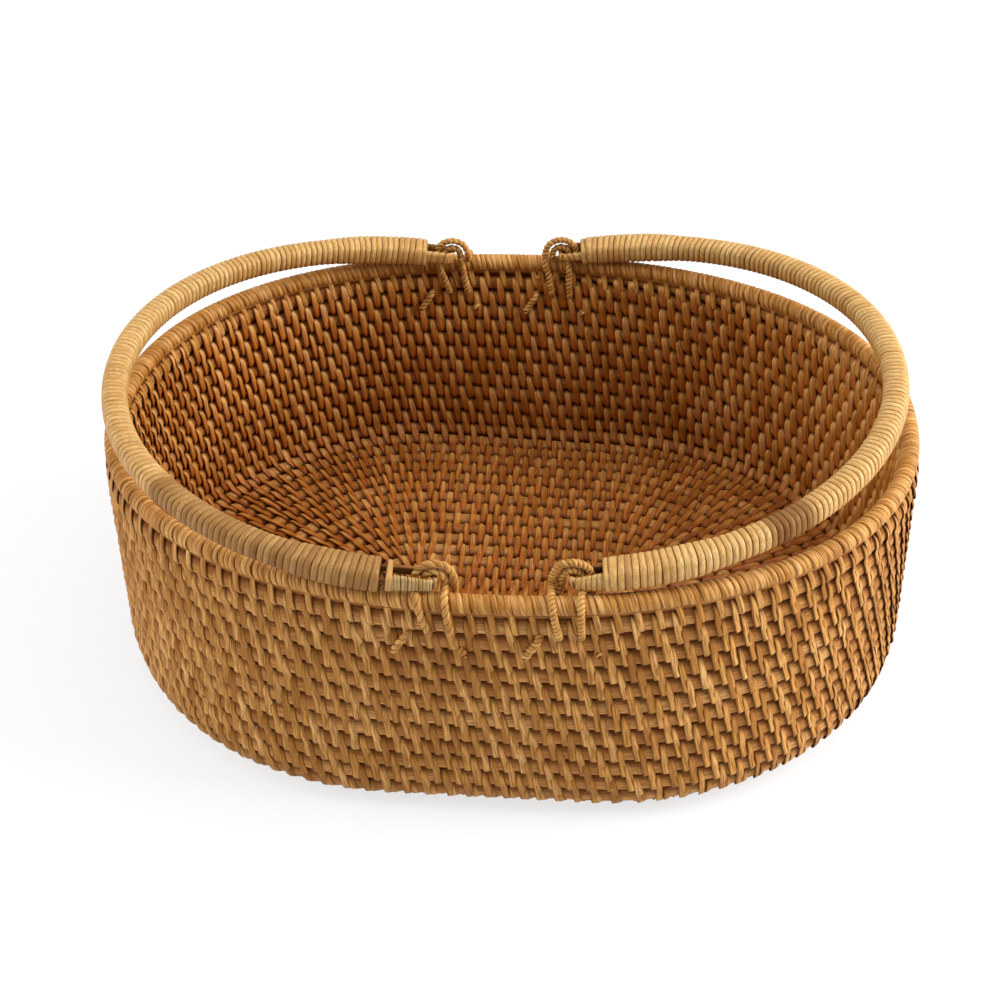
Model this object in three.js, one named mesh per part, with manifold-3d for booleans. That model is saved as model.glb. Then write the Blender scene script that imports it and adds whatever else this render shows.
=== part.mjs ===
// Rattan picnic basket: an oval coiled basket with two folding bail handles.
// Units are millimetres, +Z is up, X runs along the length, the origin is the
// centre of the floor's underside, and the front of the basket faces -Y.

import * as THREE from 'three';
import Module from 'manifold-3d';

// Basket body: outer sizes over the coiled rods
const LENGTH = 360;
const WIDTH = 274;
const HEIGHT = 116;
const CORNER_RADIUS = 17;
const RIM_OVAL_EXPONENT = 2.19;

// Coil: one rod laid side by side from the middle of the floor up to the rim
const COIL_TURNS = 28.25;
const TURN_START = 0.1;
const FIRST_STATION = 17;
const ROD_ACROSS = 7.6;
const ROD_DEPTH = 8.4;
const ROD_FLAT = 4.0;
const RAMP_STEPS = 8;
const RAMP_END_STATION = 9;
const LEVELLING_TURNS = 15;
const ROD_JOINTS = [9, 13.5, 17, 20.5, 24];
const TAPER_TIP = 0.8;
const TAPER_DEPTH_SHARE = 0.4;
const RIM_JOINT_STATION = 14;
const RIM_DIAMETER = 8;

// Handles: plan outline of both bails together, and how they sit
const BAIL_END_INSET = 9.3;
const BAIL_SIDE_INSET = 10.4;
const BAIL_STRAIGHT_X = 41;
const BAIL_OVAL_EXPONENT = 2.03;
const BAIL_TURN = THREE.MathUtils.degToRad(4.5);
const BAIL_OFFSET_X = -2;
const BAIL_TILT = THREE.MathUtils.degToRad(6.7);
const BAIL_SEAT_CLEARANCE = 0.3;
const HINGE_X = 27;

// Grip: a rod close-wrapped with peel, thicker where it grips the eye tails
const GRIP_ROD_RADIUS = 4.1;
const GRIP_RADIUS = 5.6;
const WRAP_THICKNESS = 1.0;
const WRAP_END_HALF_WIDTH = 6.9;
const WRAP_END_HALF_HEIGHT = 5.9;
const WRAP_END_EXPONENT = 2.5;
const WRAP_START_X = 44.5;
const THICK_LENGTH = 24;
const THICK_EASE = 26;
const ROD_END_EASE = 10;
const ROD_END_MARGIN = 1;
const GRIP_CROWDING_SHARE = 0.03;

// Eye: a thinned strip bent into a U, its two tails beside the rod's end
const EYE_THICKNESS = 1.9;
const EYE_HEIGHT = 3.8;
const EYE_TAIL_HEIGHT = 3.0;
const ROD_END_HALF_WIDTH = 2.9;
const ROD_END_X = 44;
const EYE_TAIL_X = 66;
const EYE_NECK_X = 43;
const EYE_NECK_LENGTH = 1.5;
const EYE_BEND_LENGTH = 3.4;
const EYE_EXPONENT = 3;
const EYE_TAIL_STEPS = 4;
const EYE_BEND_STEPS = 4;
const LASHING_X = 40.4;
const LASHING_WIDTH = 2.8;
const LASHING_EXPONENT = 6;
const LASHING_EASE = 0.3;

// Ties: round cord passed twice through the wall and the eye
const CORD_RADIUS = 1.6;
const CORD_CLEARANCE = 0.45;
const CORD_GAP = 0.7;
const CORD_EASE = 0.1;
const CORD_STEPS = 72;
const HOLE_DROP_FRONT = 16.5;
const HOLE_DROP_BACK = 20.5;
const BAR_RADIUS = 2.15;
const TIE_HOLES_LEFT = { tail: -10.5, first: 7, second: -2, stub: 11.5 };
const TIE_HOLES_RIGHT = { tail: -12, first: 4.5, second: -4.2, stub: 11 };

// Fits and mesh densities
const FIT = 0.35;
const BUTT_GAP = 0.3;
const ROUND_STEPS = 5;
const STRAIGHT_STEPS = 2;
const RIM_SIDES = 8;
const WRAP_SIDES = 10;
const GRIP_STEPS = 26;
const CORD_SIDES = 6;

// Values that follow from the sizes above
const STEPS = 4 * ROUND_STEPS + 2 * STRAIGHT_STEPS;
const HALF_STRAIGHT = (LENGTH - WIDTH) / 2;
const ROD_HALF_DEPTH = ROD_DEPTH / 2;
const WALL_RHO = WIDTH / 2 - ROD_HALF_DEPTH;
const CORNER_CENTRE = CORNER_RADIUS - ROD_HALF_DEPTH;
const FLOOR_RHO = WALL_RHO - CORNER_CENTRE;
const CORNER_ARC = CORNER_CENTRE * Math.PI / 2;
const RIM_Z = HEIGHT - RIM_DIAMETER / 2;
const PROFILE_LENGTH = FLOOR_RHO + CORNER_ARC + RIM_Z - CORNER_RADIUS;
const ROW_PITCH = PROFILE_LENGTH / COIL_TURNS;
const ROD_HALF = ROD_ACROSS / 2;
const TURN_PHASE = 1 - RAMP_END_STATION / STEPS;
const LEVEL_SHARE = 1 - RAMP_STEPS / STEPS;
const LAST_TURN = Math.round(COIL_TURNS - 1.25);
const EYE_OFFSET = ROD_END_HALF_WIDTH + FIT + EYE_THICKNESS / 2;
const BAIL_REACH = LENGTH / 2 - BAIL_END_INSET;
const BAIL_HALF_WIDTH = WIDTH / 2 - BAIL_SIDE_INSET;
const CORD_BED_RADIUS = CORD_RADIUS + CORD_CLEARANCE;

const wasm = await Module();
wasm.setup();

// Small helpers
const lerp = (a, b, k) => a + (b - a) * k;
const clamp01 = (v) => Math.min(1, Math.max(0, v));
const smooth = (v) => v * v * (3 - 2 * v);

function vec(x, y, z) {
  return new THREE.Vector3(x, y, z);
}

// Closed body lofted through rings of equal point count, with flat end caps
function loft(rings) {
  const sides = rings[0].length;
  const points = [];
  for (const ring of rings) {
    for (const p of ring) {
      points.push(p.x, p.y, p.z);
    }
  }
  const faces = [];
  for (let i = 0; i + 1 < rings.length; i += 1) {
    for (let j = 0; j < sides; j += 1) {
      const a = i * sides + j;
      const b = i * sides + (j + 1) % sides;
      const c = a + sides;
      const d = b + sides;
      faces.push(a, b, d, a, d, c);
    }
  }
  const last = (rings.length - 1) * sides;
  for (let j = 1; j + 1 < sides; j += 1) {
    faces.push(0, j + 1, j);
    faces.push(last, last + j, last + j + 1);
  }
  return outward(points, faces);
}

// Tubular shell between an outer and an inner loft, open at both ends
function shell(outer, inner) {
  const sides = outer[0].length;
  const count = outer.length;
  const points = [];
  for (const ring of [...outer, ...inner]) {
    for (const p of ring) {
      points.push(p.x, p.y, p.z);
    }
  }
  const base = count * sides;
  const faces = [];
  for (let i = 0; i + 1 < count; i += 1) {
    for (let j = 0; j < sides; j += 1) {
      const a = i * sides + j;
      const b = i * sides + (j + 1) % sides;
      faces.push(a, b, b + sides, a, b + sides, a + sides);
      faces.push(base + a, base + b + sides, base + b);
      faces.push(base + a, base + a + sides, base + b + sides);
    }
  }
  const last = (count - 1) * sides;
  for (let j = 0; j < sides; j += 1) {
    const k = (j + 1) % sides;
    faces.push(j, base + k, k, j, base + j, base + k);
    faces.push(last + j, last + k, base + last + k);
    faces.push(last + j, base + last + k, base + last + j);
  }
  return outward(points, faces);
}

// Indexed geometry with its faces turned outward
function outward(points, faces) {
  let volume = 0;
  const at = (i) => vec(points[3 * i], points[3 * i + 1], points[3 * i + 2]);
  for (let i = 0; i < faces.length; i += 3) {
    volume += at(faces[i]).dot(at(faces[i + 1]).cross(at(faces[i + 2])));
  }
  if (volume < 0) {
    for (let i = 0; i < faces.length; i += 3) {
      [faces[i + 1], faces[i + 2]] = [faces[i + 2], faces[i + 1]];
    }
  }
  const geometry = new THREE.BufferGeometry();
  geometry.setAttribute('position', new THREE.Float32BufferAttribute(points, 3));
  geometry.setIndex(faces);
  return geometry;
}

function toSolid(geometry) {
  return new wasm.Manifold(new wasm.Mesh({
    numProp: 3,
    vertProperties: new Float32Array(geometry.attributes.position.array),
    triVerts: new Uint32Array(geometry.index.array),
  }));
}

function fromSolid(solid) {
  const mesh = solid.getMesh();
  const geometry = new THREE.BufferGeometry();
  geometry.setAttribute('position', new THREE.Float32BufferAttribute(mesh.vertProperties, 3));
  geometry.setIndex(Array.from(mesh.triVerts));
  return geometry;
}

// Plan outlines
// A station is one of STEPS fixed places round the oval, counted from +X; it
// may be fractional, and is the same place on every turn of the coil.
function racetrack(station, rho) {
  const s = ((station % STEPS) + STEPS) % STEPS;
  const quarter = ROUND_STEPS;
  const back = quarter + STRAIGHT_STEPS;
  const left = back + 2 * quarter;
  const front = left + STRAIGHT_STEPS;
  const stepAngle = Math.PI / 2 / quarter;
  if (s <= quarter) {
    return roundEnd(1, s * stepAngle, rho);
  }
  if (s <= back) {
    const k = (s - quarter) / STRAIGHT_STEPS;
    return { x: lerp(HALF_STRAIGHT, -HALF_STRAIGHT, k), y: rho, nx: 0, ny: 1 };
  }
  if (s <= left) {
    return roundEnd(-1, Math.PI / 2 + (s - back) * stepAngle, rho);
  }
  if (s <= front) {
    const k = (s - left) / STRAIGHT_STEPS;
    return { x: lerp(-HALF_STRAIGHT, HALF_STRAIGHT, k), y: -rho, nx: 0, ny: -1 };
  }
  return roundEnd(1, (s - front) * stepAngle - Math.PI / 2, rho);
}

function roundEnd(side, angle, rho) {
  const nx = Math.cos(angle);
  const ny = Math.sin(angle);
  return { x: side * HALF_STRAIGHT + rho * nx, y: rho * ny, nx, ny };
}

function superellipse(a, b, exponent, angle) {
  const c = Math.cos(angle);
  const s = Math.sin(angle);
  const x = a * Math.sign(c) * Math.abs(c) ** (2 / exponent);
  const y = b * Math.sign(s) * Math.abs(s) ** (2 / exponent);
  return { x, y };
}

// Running length round a closed outline, sampled finely
function measure(outline, samples) {
  const points = [];
  const lengths = [0];
  for (let i = 0; i <= samples; i += 1) {
    points.push(outline(i / samples));
    if (i > 0) {
      const dx = points[i].x - points[i - 1].x;
      const dy = points[i].y - points[i - 1].y;
      lengths.push(lengths[i - 1] + Math.hypot(dx, dy));
    }
  }
  return { points, lengths, total: lengths[samples] };
}

function pointAtShare(table, share) {
  const target = clamp01(share) * table.total;
  let i = 1;
  while (i < table.lengths.length - 1 && table.lengths[i] < target) {
    i += 1;
  }
  const span = table.lengths[i] - table.lengths[i - 1];
  const k = (target - table.lengths[i - 1]) / span;
  const a = table.points[i - 1];
  const b = table.points[i];
  return { x: lerp(a.x, b.x, k), y: lerp(a.y, b.y, k) };
}

const FINE = 1440;
const trackTable = measure((k) => racetrack(k * STEPS, WALL_RHO), FINE);
const rimTable = measure(
  (k) => superellipse(HALF_STRAIGHT + WALL_RHO, WALL_RHO, RIM_OVAL_EXPONENT, k * 2 * Math.PI),
  FINE,
);

// Share of the way round that a station has at wall level
function stationShare(station) {
  const s = ((station % STEPS) + STEPS) % STEPS;
  const i = s / STEPS * FINE;
  const low = Math.floor(i);
  const high = Math.min(low + 1, FINE);
  return lerp(trackTable.lengths[low], trackTable.lengths[high], i - low) / trackTable.total;
}

function rimOutline(station) {
  const p = pointAtShare(rimTable, stationShare(station));
  const before = pointAtShare(rimTable, (stationShare(station) + 1 - 0.002) % 1);
  const after = pointAtShare(rimTable, (stationShare(station) + 0.002) % 1);
  const dx = after.x - before.x;
  const dy = after.y - before.y;
  const size = Math.hypot(dx, dy);
  return { x: p.x, y: p.y, nx: dy / size, ny: -dx / size };
}

// Profile of floor, corner and wall, by distance from the middle of the floor
function profile(s) {
  if (s <= FLOOR_RHO) {
    return { rho: s, z: ROD_HALF_DEPTH, lean: 0 };
  }
  if (s <= FLOOR_RHO + CORNER_ARC) {
    const lean = (s - FLOOR_RHO) / CORNER_CENTRE;
    return {
      rho: FLOOR_RHO + CORNER_CENTRE * Math.sin(lean),
      z: ROD_HALF_DEPTH + CORNER_CENTRE * (1 - Math.cos(lean)),
      lean,
    };
  }
  return { rho: WALL_RHO, z: CORNER_RADIUS + s - FLOOR_RHO - CORNER_ARC, lean: Math.PI / 2 };
}

// Distance along the profile that the coil has reached after some turns. On
// the floor it grows evenly; up the wall each turn lies level round the left,
// the front and the right, and steps up one row across the back.
function reached(turn) {
  const whole = Math.floor(turn + 1e-9);
  const part = turn - whole;
  const level = clamp01(turn / LEVELLING_TURNS);
  const climb = smooth(clamp01((part - LEVEL_SHARE) / (1 - LEVEL_SHARE)));
  const even = part - LEVEL_SHARE / 2;
  const offset = LEVEL_SHARE / 2 - TURN_START;
  return ROW_PITCH * (whole + offset + lerp(even, climb, level));
}

function turnStation(turn) {
  return (turn - TURN_PHASE) * STEPS;
}

// Centre of the coil and the two directions of its section at a turn count
function coilFrame(turn, distance) {
  const at = profile(distance);
  const station = turnStation(turn);
  const track = racetrack(station, at.rho);
  const rise = smooth(clamp01((at.z - CORNER_RADIUS) / (RIM_Z - CORNER_RADIUS)));
  const rim = rimOutline(station);
  const nx = lerp(track.nx, rim.nx, rise);
  const ny = lerp(track.ny, rim.ny, rise);
  const size = Math.hypot(nx, ny);
  const flat = vec(nx / size, ny / size, 0);
  const up = vec(0, 0, 1);
  return {
    centre: vec(lerp(track.x, rim.x, rise), lerp(track.y, rim.y, rise), at.z),
    along: flat.clone().multiplyScalar(Math.cos(at.lean)).addScaledVector(up, Math.sin(at.lean)),
    out: flat.clone().multiplyScalar(Math.sin(at.lean)).addScaledVector(up, -Math.cos(at.lean)),
  };
}

// Six-sided section: edges meet the neighbouring rows, flats face in and out
function rodRing(frame, half, depth) {
  const flat = ROD_FLAT / 2 * half / ROD_HALF;
  const corners = [[half, 0], [flat, depth], [-flat, depth], [-half, 0], [-flat, -depth], [flat, -depth]];
  return corners.map(([a, o]) => {
    const p = frame.centre.clone().addScaledVector(frame.along, a).addScaledVector(frame.out, o);
    return p.setZ(Math.max(0, p.z));
  });
}

// The last turn is shaved to a taper below the rim rod while the turn under
// it climbs into its place
function taper(turn) {
  const top = reached(LAST_TURN) + ROD_HALF;
  const bottom = reached(turn - 1) + ROW_PITCH - ROD_HALF;
  return { middle: (top + bottom) / 2, half: (top - bottom) / 2 };
}

function coilRing(turn) {
  if (turn > LAST_TURN + LEVEL_SHARE) {
    const { middle, half } = taper(turn);
    const depth = ROD_HALF_DEPTH * lerp(TAPER_DEPTH_SHARE, 1, half / ROD_HALF);
    return rodRing(coilFrame(turn, middle), half, depth);
  }
  return rodRing(coilFrame(turn, reached(turn)), ROD_HALF, ROD_HALF_DEPTH);
}

function coilEnd() {
  let turn = LAST_TURN + LEVEL_SHARE;
  while (taper(turn + 1 / STEPS).half > TAPER_TIP) {
    turn += 1 / STEPS;
  }
  return turn;
}

// One rattan rod of the coil between two turn counts, both at stations
function coilRod(from, to) {
  const steps = Math.round((to - from) * STEPS);
  const trim = BUTT_GAP / 2 / trackTable.total;
  const rings = [];
  for (let i = 0; i <= steps; i += 1) {
    const inset = (i === 0 ? trim : 0) - (i === steps ? trim : 0);
    rings.push(coilRing(from + i / STEPS + inset));
  }
  return loft(rings);
}

// Least distance between the facing edges of neighbouring turns
function leastRowGap(from, to) {
  let least = Infinity;
  const steps = Math.round((to - from - 1) * STEPS);
  for (let i = 0; i <= steps; i += 1) {
    const turn = from + i / STEPS;
    const edge = coilRing(turn)[0];
    const facing = coilRing(turn + 1)[3];
    least = Math.min(least, edge.distanceTo(facing));
  }
  return least;
}

function rimRod() {
  const rings = [];
  const radius = RIM_DIAMETER / 2 / Math.cos(Math.PI / RIM_SIDES);
  const steps = 2 * STEPS;
  const trim = BUTT_GAP / rimTable.total * STEPS;
  for (let i = 0; i <= steps; i += 1) {
    const station = RIM_JOINT_STATION + i / 2 - (i === steps ? trim : 0);
    const at = rimOutline(station);
    const ring = [];
    for (let j = 0; j < RIM_SIDES; j += 1) {
      const angle = (j + 0.5) * 2 * Math.PI / RIM_SIDES;
      const off = radius * Math.cos(angle);
      ring.push(vec(at.x + at.nx * off, at.y + at.ny * off, RIM_Z + radius * Math.sin(angle)));
    }
    rings.push(ring);
  }
  return loft(rings);
}

// Bail handles
// Each bail is drawn flat: X along the reach from the basket's middle, Y along
// the hinge line, Z square to the bail's plane. It is then tilted about its
// hinge and set on the basket. Both bails have the same shape.
const bailTable = measure((k) => {
  const angle = (k - 0.5) * Math.PI;
  const p = superellipse(BAIL_REACH - BAIL_STRAIGHT_X, BAIL_HALF_WIDTH, BAIL_OVAL_EXPONENT, angle);
  return { x: p.x + BAIL_STRAIGHT_X, y: p.y };
}, FINE);

// Place on the bail's centre line by length from the front straight's end;
// negative lengths run along the straight part towards the hinge
function bailPath(length) {
  if (length <= 0) {
    return { x: BAIL_STRAIGHT_X + length, y: -BAIL_HALF_WIDTH, nx: 0, ny: -1 };
  }
  if (length >= bailTable.total) {
    const x = BAIL_STRAIGHT_X - (length - bailTable.total);
    return { x, y: BAIL_HALF_WIDTH, nx: 0, ny: 1 };
  }
  const p = pointAtShare(bailTable, length / bailTable.total);
  const before = pointAtShare(bailTable, (length - 1) / bailTable.total);
  const after = pointAtShare(bailTable, (length + 1) / bailTable.total);
  const size = Math.hypot(after.x - before.x, after.y - before.y);
  return { x: p.x, y: p.y, nx: (after.y - before.y) / size, ny: -(after.x - before.x) / size };
}

// Length at which the front half of the bail reaches a given X
function lengthAtX(x) {
  if (x <= BAIL_STRAIGHT_X) {
    return x - BAIL_STRAIGHT_X;
  }
  let length = 0;
  while (bailPath(length).x < x) {
    length += 0.05;
  }
  return length;
}

const HINGE_Z = HEIGHT + BAIL_SEAT_CLEARANCE + WRAP_END_HALF_HEIGHT * Math.cos(BAIL_TILT)
  - (WRAP_START_X - HINGE_X) * Math.sin(BAIL_TILT);

// Bail drawing to basket coordinates; side is -1 for the left bail
function placeBail(p, side) {
  const a = p.x - HINGE_X;
  const reach = HINGE_X + a * Math.cos(BAIL_TILT) - p.z * Math.sin(BAIL_TILT);
  const rise = a * Math.sin(BAIL_TILT) + p.z * Math.cos(BAIL_TILT);
  return turnPlan(side * reach, side * p.y, HINGE_Z + rise);
}

function turnPlan(x, y, z) {
  const c = Math.cos(BAIL_TURN);
  const s = Math.sin(BAIL_TURN);
  return vec(BAIL_OFFSET_X + x * c - y * s, x * s + y * c, z);
}

// Section across the bail: a rounded outline of the given half sizes
function bailRing(length, halfWidth, halfHeight, exponent, sides, side) {
  const at = bailPath(length);
  const ring = [];
  for (let j = 0; j < sides; j += 1) {
    const angle = (j + 0.5) * 2 * Math.PI / sides;
    const p = superellipse(halfWidth, halfHeight, exponent, angle);
    ring.push(placeBail(vec(at.x + at.nx * p.x, at.y + at.ny * p.x, p.y), side));
  }
  return ring;
}

// Distance from the nearer end of the wrap, for a length along the bail
function fromEnd(length) {
  return Math.min(length, bailTable.total - length) - lengthAtX(WRAP_START_X);
}

// How far the section has thickened at a place: 1 at the ends, 0 at the grip
function thickening(length) {
  return 1 - smooth(clamp01((fromEnd(length) - THICK_LENGTH) / THICK_EASE));
}

function gripStations(startX) {
  const start = lengthAtX(startX);
  const end = bailTable.total - start;
  const list = [];
  for (let i = 0; i <= GRIP_STEPS; i += 1) {
    const k = i / GRIP_STEPS;
    list.push(lerp(start, end, k - GRIP_CROWDING_SHARE * Math.sin(2 * Math.PI * k)));
  }
  return list;
}

function gripRod(side) {
  const tail = lengthAtX(EYE_TAIL_X) - lengthAtX(WRAP_START_X) + ROD_END_MARGIN;
  const rings = gripStations(ROD_END_X).map((length) => {
    const open = smooth(clamp01((fromEnd(length) - tail) / ROD_END_EASE));
    const halfWidth = lerp(ROD_END_HALF_WIDTH, GRIP_ROD_RADIUS, open);
    return bailRing(length, halfWidth, GRIP_ROD_RADIUS, 2, WRAP_SIDES, side);
  });
  return loft(rings);
}

function gripWrap(side) {
  const sections = (inset) => gripStations(WRAP_START_X).map((length) => {
    const k = thickening(length);
    const halfWidth = lerp(GRIP_RADIUS, WRAP_END_HALF_WIDTH, k) - inset;
    const halfHeight = lerp(GRIP_RADIUS, WRAP_END_HALF_HEIGHT, k) - inset;
    return bailRing(length, halfWidth, halfHeight, lerp(2, WRAP_END_EXPONENT, k), WRAP_SIDES, side);
  });
  return shell(sections(0), sections(WRAP_THICKNESS));
}

// Place beside the bail's centre line at one end; end is -1 for drawing -Y
function beside(x, offset, end) {
  const length = lengthAtX(x);
  const at = bailPath(length);
  return { x: at.x + at.nx * offset, y: (at.y + at.ny * offset) * -end };
}

// The U of thinned strip that makes an eye
function eye(side, end) {
  const line = [];
  for (let i = 0; i <= EYE_TAIL_STEPS; i += 1) {
    line.push([lerp(EYE_TAIL_X, EYE_NECK_X, i / EYE_TAIL_STEPS), EYE_OFFSET]);
  }
  line.push([EYE_NECK_X - EYE_NECK_LENGTH, EYE_OFFSET]);
  for (let i = 0; i < EYE_BEND_STEPS; i += 1) {
    const angle = i / EYE_BEND_STEPS * Math.PI / 2;
    const p = superellipse(EYE_BEND_LENGTH, EYE_OFFSET, EYE_EXPONENT, angle);
    const x = HINGE_X + EYE_BEND_LENGTH * (1 - p.y / EYE_OFFSET);
    line.push([x, p.x * EYE_OFFSET / EYE_BEND_LENGTH]);
  }
  const mirrored = line.slice().reverse().map(([x, offset]) => [x, -offset]);
  const full = [...line, [HINGE_X, 0], ...mirrored];
  const points = full.map(([x, offset]) => beside(x, offset, end));
  const rings = points.map((p, i) => {
    const before = points[Math.max(0, i - 1)];
    const after = points[Math.min(points.length - 1, i + 1)];
    const size = Math.hypot(after.x - before.x, after.y - before.y);
    const nx = (after.y - before.y) / size * EYE_THICKNESS / 2;
    const ny = -(after.x - before.x) / size * EYE_THICKNESS / 2;
    const high = (full[i][0] > EYE_NECK_X - EYE_NECK_LENGTH / 2 ? EYE_TAIL_HEIGHT : EYE_HEIGHT) / 2;
    return [[1, 1], [-1, 1], [-1, -1], [1, -1]].map(([across, up]) =>
      placeBail(vec(p.x + across * nx, p.y + across * ny, up * high), side));
  });
  return loft(rings);
}

// A band of peel that locks the eye's legs just before the wrap
function lashing(side, end) {
  const near = lengthAtX(LASHING_X - LASHING_WIDTH / 2);
  const far = lengthAtX(LASHING_X + LASHING_WIDTH / 2);
  const places = end < 0 ? [near, far] : [bailTable.total - near, bailTable.total - far];
  const halfWidth = EYE_OFFSET + EYE_THICKNESS / 2 + FIT + WRAP_THICKNESS + LASHING_EASE;
  const halfHeight = EYE_HEIGHT / 2 + FIT + WRAP_THICKNESS + LASHING_EASE;
  const sections = (inset) => places.map((length) =>
    bailRing(length, halfWidth - inset, halfHeight - inset, LASHING_EXPONENT, WRAP_SIDES, side));
  return shell(sections(0), sections(WRAP_THICKNESS));
}

// Ties
// Distance of the wall's middle from the X axis, on the faceted rows
function wallMiddle(x, z) {
  const rise = smooth(clamp01((z - CORNER_RADIUS) / (RIM_Z - CORNER_RADIUS)));
  const centre = (station) => {
    const track = racetrack(station, WALL_RHO);
    const rim = rimOutline(station);
    return { x: lerp(track.x, rim.x, rise), y: lerp(track.y, rim.y, rise) };
  };
  let station = ROUND_STEPS + STRAIGHT_STEPS / 2;
  while (centre(station + 1).x > -Math.abs(x)) {
    station += 1;
  }
  const near = centre(station);
  const far = centre(station + 1);
  return lerp(near.y, far.y, (near.x + Math.abs(x)) / (near.x - far.x));
}

// Height of the seam between two rows that is nearest to a wanted height
function seamHeight(x, end, wanted) {
  const k = (x + HALF_STRAIGHT) / (2 * HALF_STRAIGHT) * STRAIGHT_STEPS;
  const front = 3 * ROUND_STEPS + STRAIGHT_STEPS;
  const station = end < 0 ? front + k : ROUND_STEPS + STRAIGHT_STEPS - k;
  const part = station / STEPS + TURN_PHASE;
  const share = part - Math.floor(part);
  const highest = share < LEVEL_SHARE ? LAST_TURN : LAST_TURN - 1;
  let best = 0;
  for (let whole = LAST_TURN - 5; whole <= highest; whole += 1) {
    const turn = whole + share;
    const seam = (profile(reached(turn - 1)).z + profile(reached(turn)).z) / 2;
    if (Math.abs(seam - wanted) < Math.abs(best - wanted)) {
      best = seam;
    }
  }
  return best;
}

// Centre line of a tie; side is -1 for the left bail, end is -1 for the front.
// The face that shows the knot's tails is the outside at the front and the
// inside at the back.
function tieLine(side, end) {
  const holes = side < 0 ? TIE_HOLES_LEFT : TIE_HOLES_RIGHT;
  const face = -end;
  const wanted = HEIGHT - (end < 0 ? HOLE_DROP_FRONT : HOLE_DROP_BACK);
  const pivot = turnPlan(side * HINGE_X, end * BAIL_HALF_WIDTH, HINGE_Z);
  const clear = ROD_HALF_DEPTH + CORD_BED_RADIUS + CORD_EASE;
  const r = CORD_RADIUS;
  const slot = (d, v, rise) => turnPlan(
    side * HINGE_X + d,
    end * (BAIL_HALF_WIDTH + v),
    HINGE_Z + rise,
  );
  const wall = (d, across, z) => vec(pivot.x + d, end * (wallMiddle(pivot.x + d, z) + across), z);
  const seam = (d, rows) => seamHeight(pivot.x + d, end, wanted - rows * ROW_PITCH);

  // From the side of the bar down a face of the wall and into a hole
  const pass = (d, hole, way) => {
    const z = seam(hole, 0);
    const to = (k) => lerp(d, hole, k);
    const over = way > 0
      ? [slot(d, 0.75 * r, -1.95 * r), wall(to(0.1), 0.5 * r, RIM_Z + 2.95 * r),
        wall(to(0.2), 2.2 * r, RIM_Z + 2.25 * r), wall(to(0.35), 3.4 * r, RIM_Z + 0.7 * r)]
      : [slot(d, -0.3 * r, -2.05 * r), wall(to(0.25), 0.2 * r - clear, RIM_Z + 0.9 * r)];
    return [
      slot(d, 0, -r),
      ...over,
      wall(to(0.6), way * clear, lerp(RIM_Z, z, 0.3)),
      wall(to(0.9), way * clear, z + 2.6 * r),
      wall(hole, way * (clear - 0.3 * r), z + 0.95 * r),
      wall(hole, way * (clear - 1.5 * r), z + 0.05 * r),
      wall(hole, 0, z),
    ];
  };
  // Half a turn over the eye's bar, from one side of it to the other
  const arc = (radius, from) => [0, 45, 90, 135, 180].map((degrees) => {
    const angle = THREE.MathUtils.degToRad(degrees);
    return slot(from * radius * Math.cos(angle), 0, radius * Math.sin(angle));
  });
  const inner = BAR_RADIUS + FIT + CORD_RADIUS;
  const outer = inner + 2 * CORD_RADIUS + CORD_GAP;
  const zTail = seam(holes.tail, 0);
  const zBack = seam(holes.second, 0);
  const zStub = seam(holes.stub, 1);
  const run = (k) => lerp(holes.second, holes.stub, k);
  const points = [
    wall(holes.tail - 3.75 * r, face * (clear + 0.2 * r), zTail - 5.9 * r),
    wall(holes.tail - 2 * r, face * clear, zTail - 3 * r),
    wall(holes.tail - 0.45 * r, face * (clear - 0.25 * r), zTail - 0.75 * r),
    wall(holes.tail, face * (clear - 1.5 * r), zTail),
    ...pass(-inner, holes.tail, -face).reverse(),
    ...arc(inner, -1),
    ...pass(inner, holes.first, face),
    ...pass(outer, holes.first, -face).reverse().slice(1),
    ...arc(outer, 1),
    ...pass(-outer, holes.second, face),
    wall(holes.second, -face * (clear - 1.5 * r), zBack - 0.05 * r),
    wall(run(0.1), -face * (clear - 0.25 * r), zBack - 1.1 * r),
    wall(run(0.35), -face * clear, zBack - 2.75 * r),
    wall(run(0.75), -face * clear, zStub + 1.1 * r),
    wall(run(0.95), -face * (clear - 0.3 * r), zStub + 0.1 * r),
    wall(holes.stub, -face * (clear - 1.6 * r), zStub),
    wall(holes.stub, 0, zStub),
    wall(holes.stub, face * (clear - r), zStub),
    wall(holes.stub + 0.3 * r, face * (clear + 0.25 * r), zStub - 0.45 * r),
  ];
  const curve = new THREE.CatmullRomCurve3(points, false, 'centripetal');
  return curve.getSpacedPoints(CORD_STEPS);
}

// Round cord of some radius swept along a line without twisting
function cord(line, radius) {
  const last = line.length - 1;
  let side = null;
  const rings = line.map((p, i) => {
    const tangent = line[Math.min(last, i + 1)].clone().sub(line[Math.max(0, i - 1)]).normalize();
    if (side === null) {
      side = vec(0, 0, 1).cross(tangent).normalize();
    }
    side.addScaledVector(tangent, -side.dot(tangent)).normalize();
    const other = tangent.clone().cross(side);
    const ring = [];
    for (let j = 0; j < CORD_SIDES; j += 1) {
      const angle = j * 2 * Math.PI / CORD_SIDES;
      ring.push(p.clone()
        .addScaledVector(side, radius * Math.cos(angle))
        .addScaledVector(other, radius * Math.sin(angle)));
    }
    return ring;
  });
  return loft(rings);
}

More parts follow.
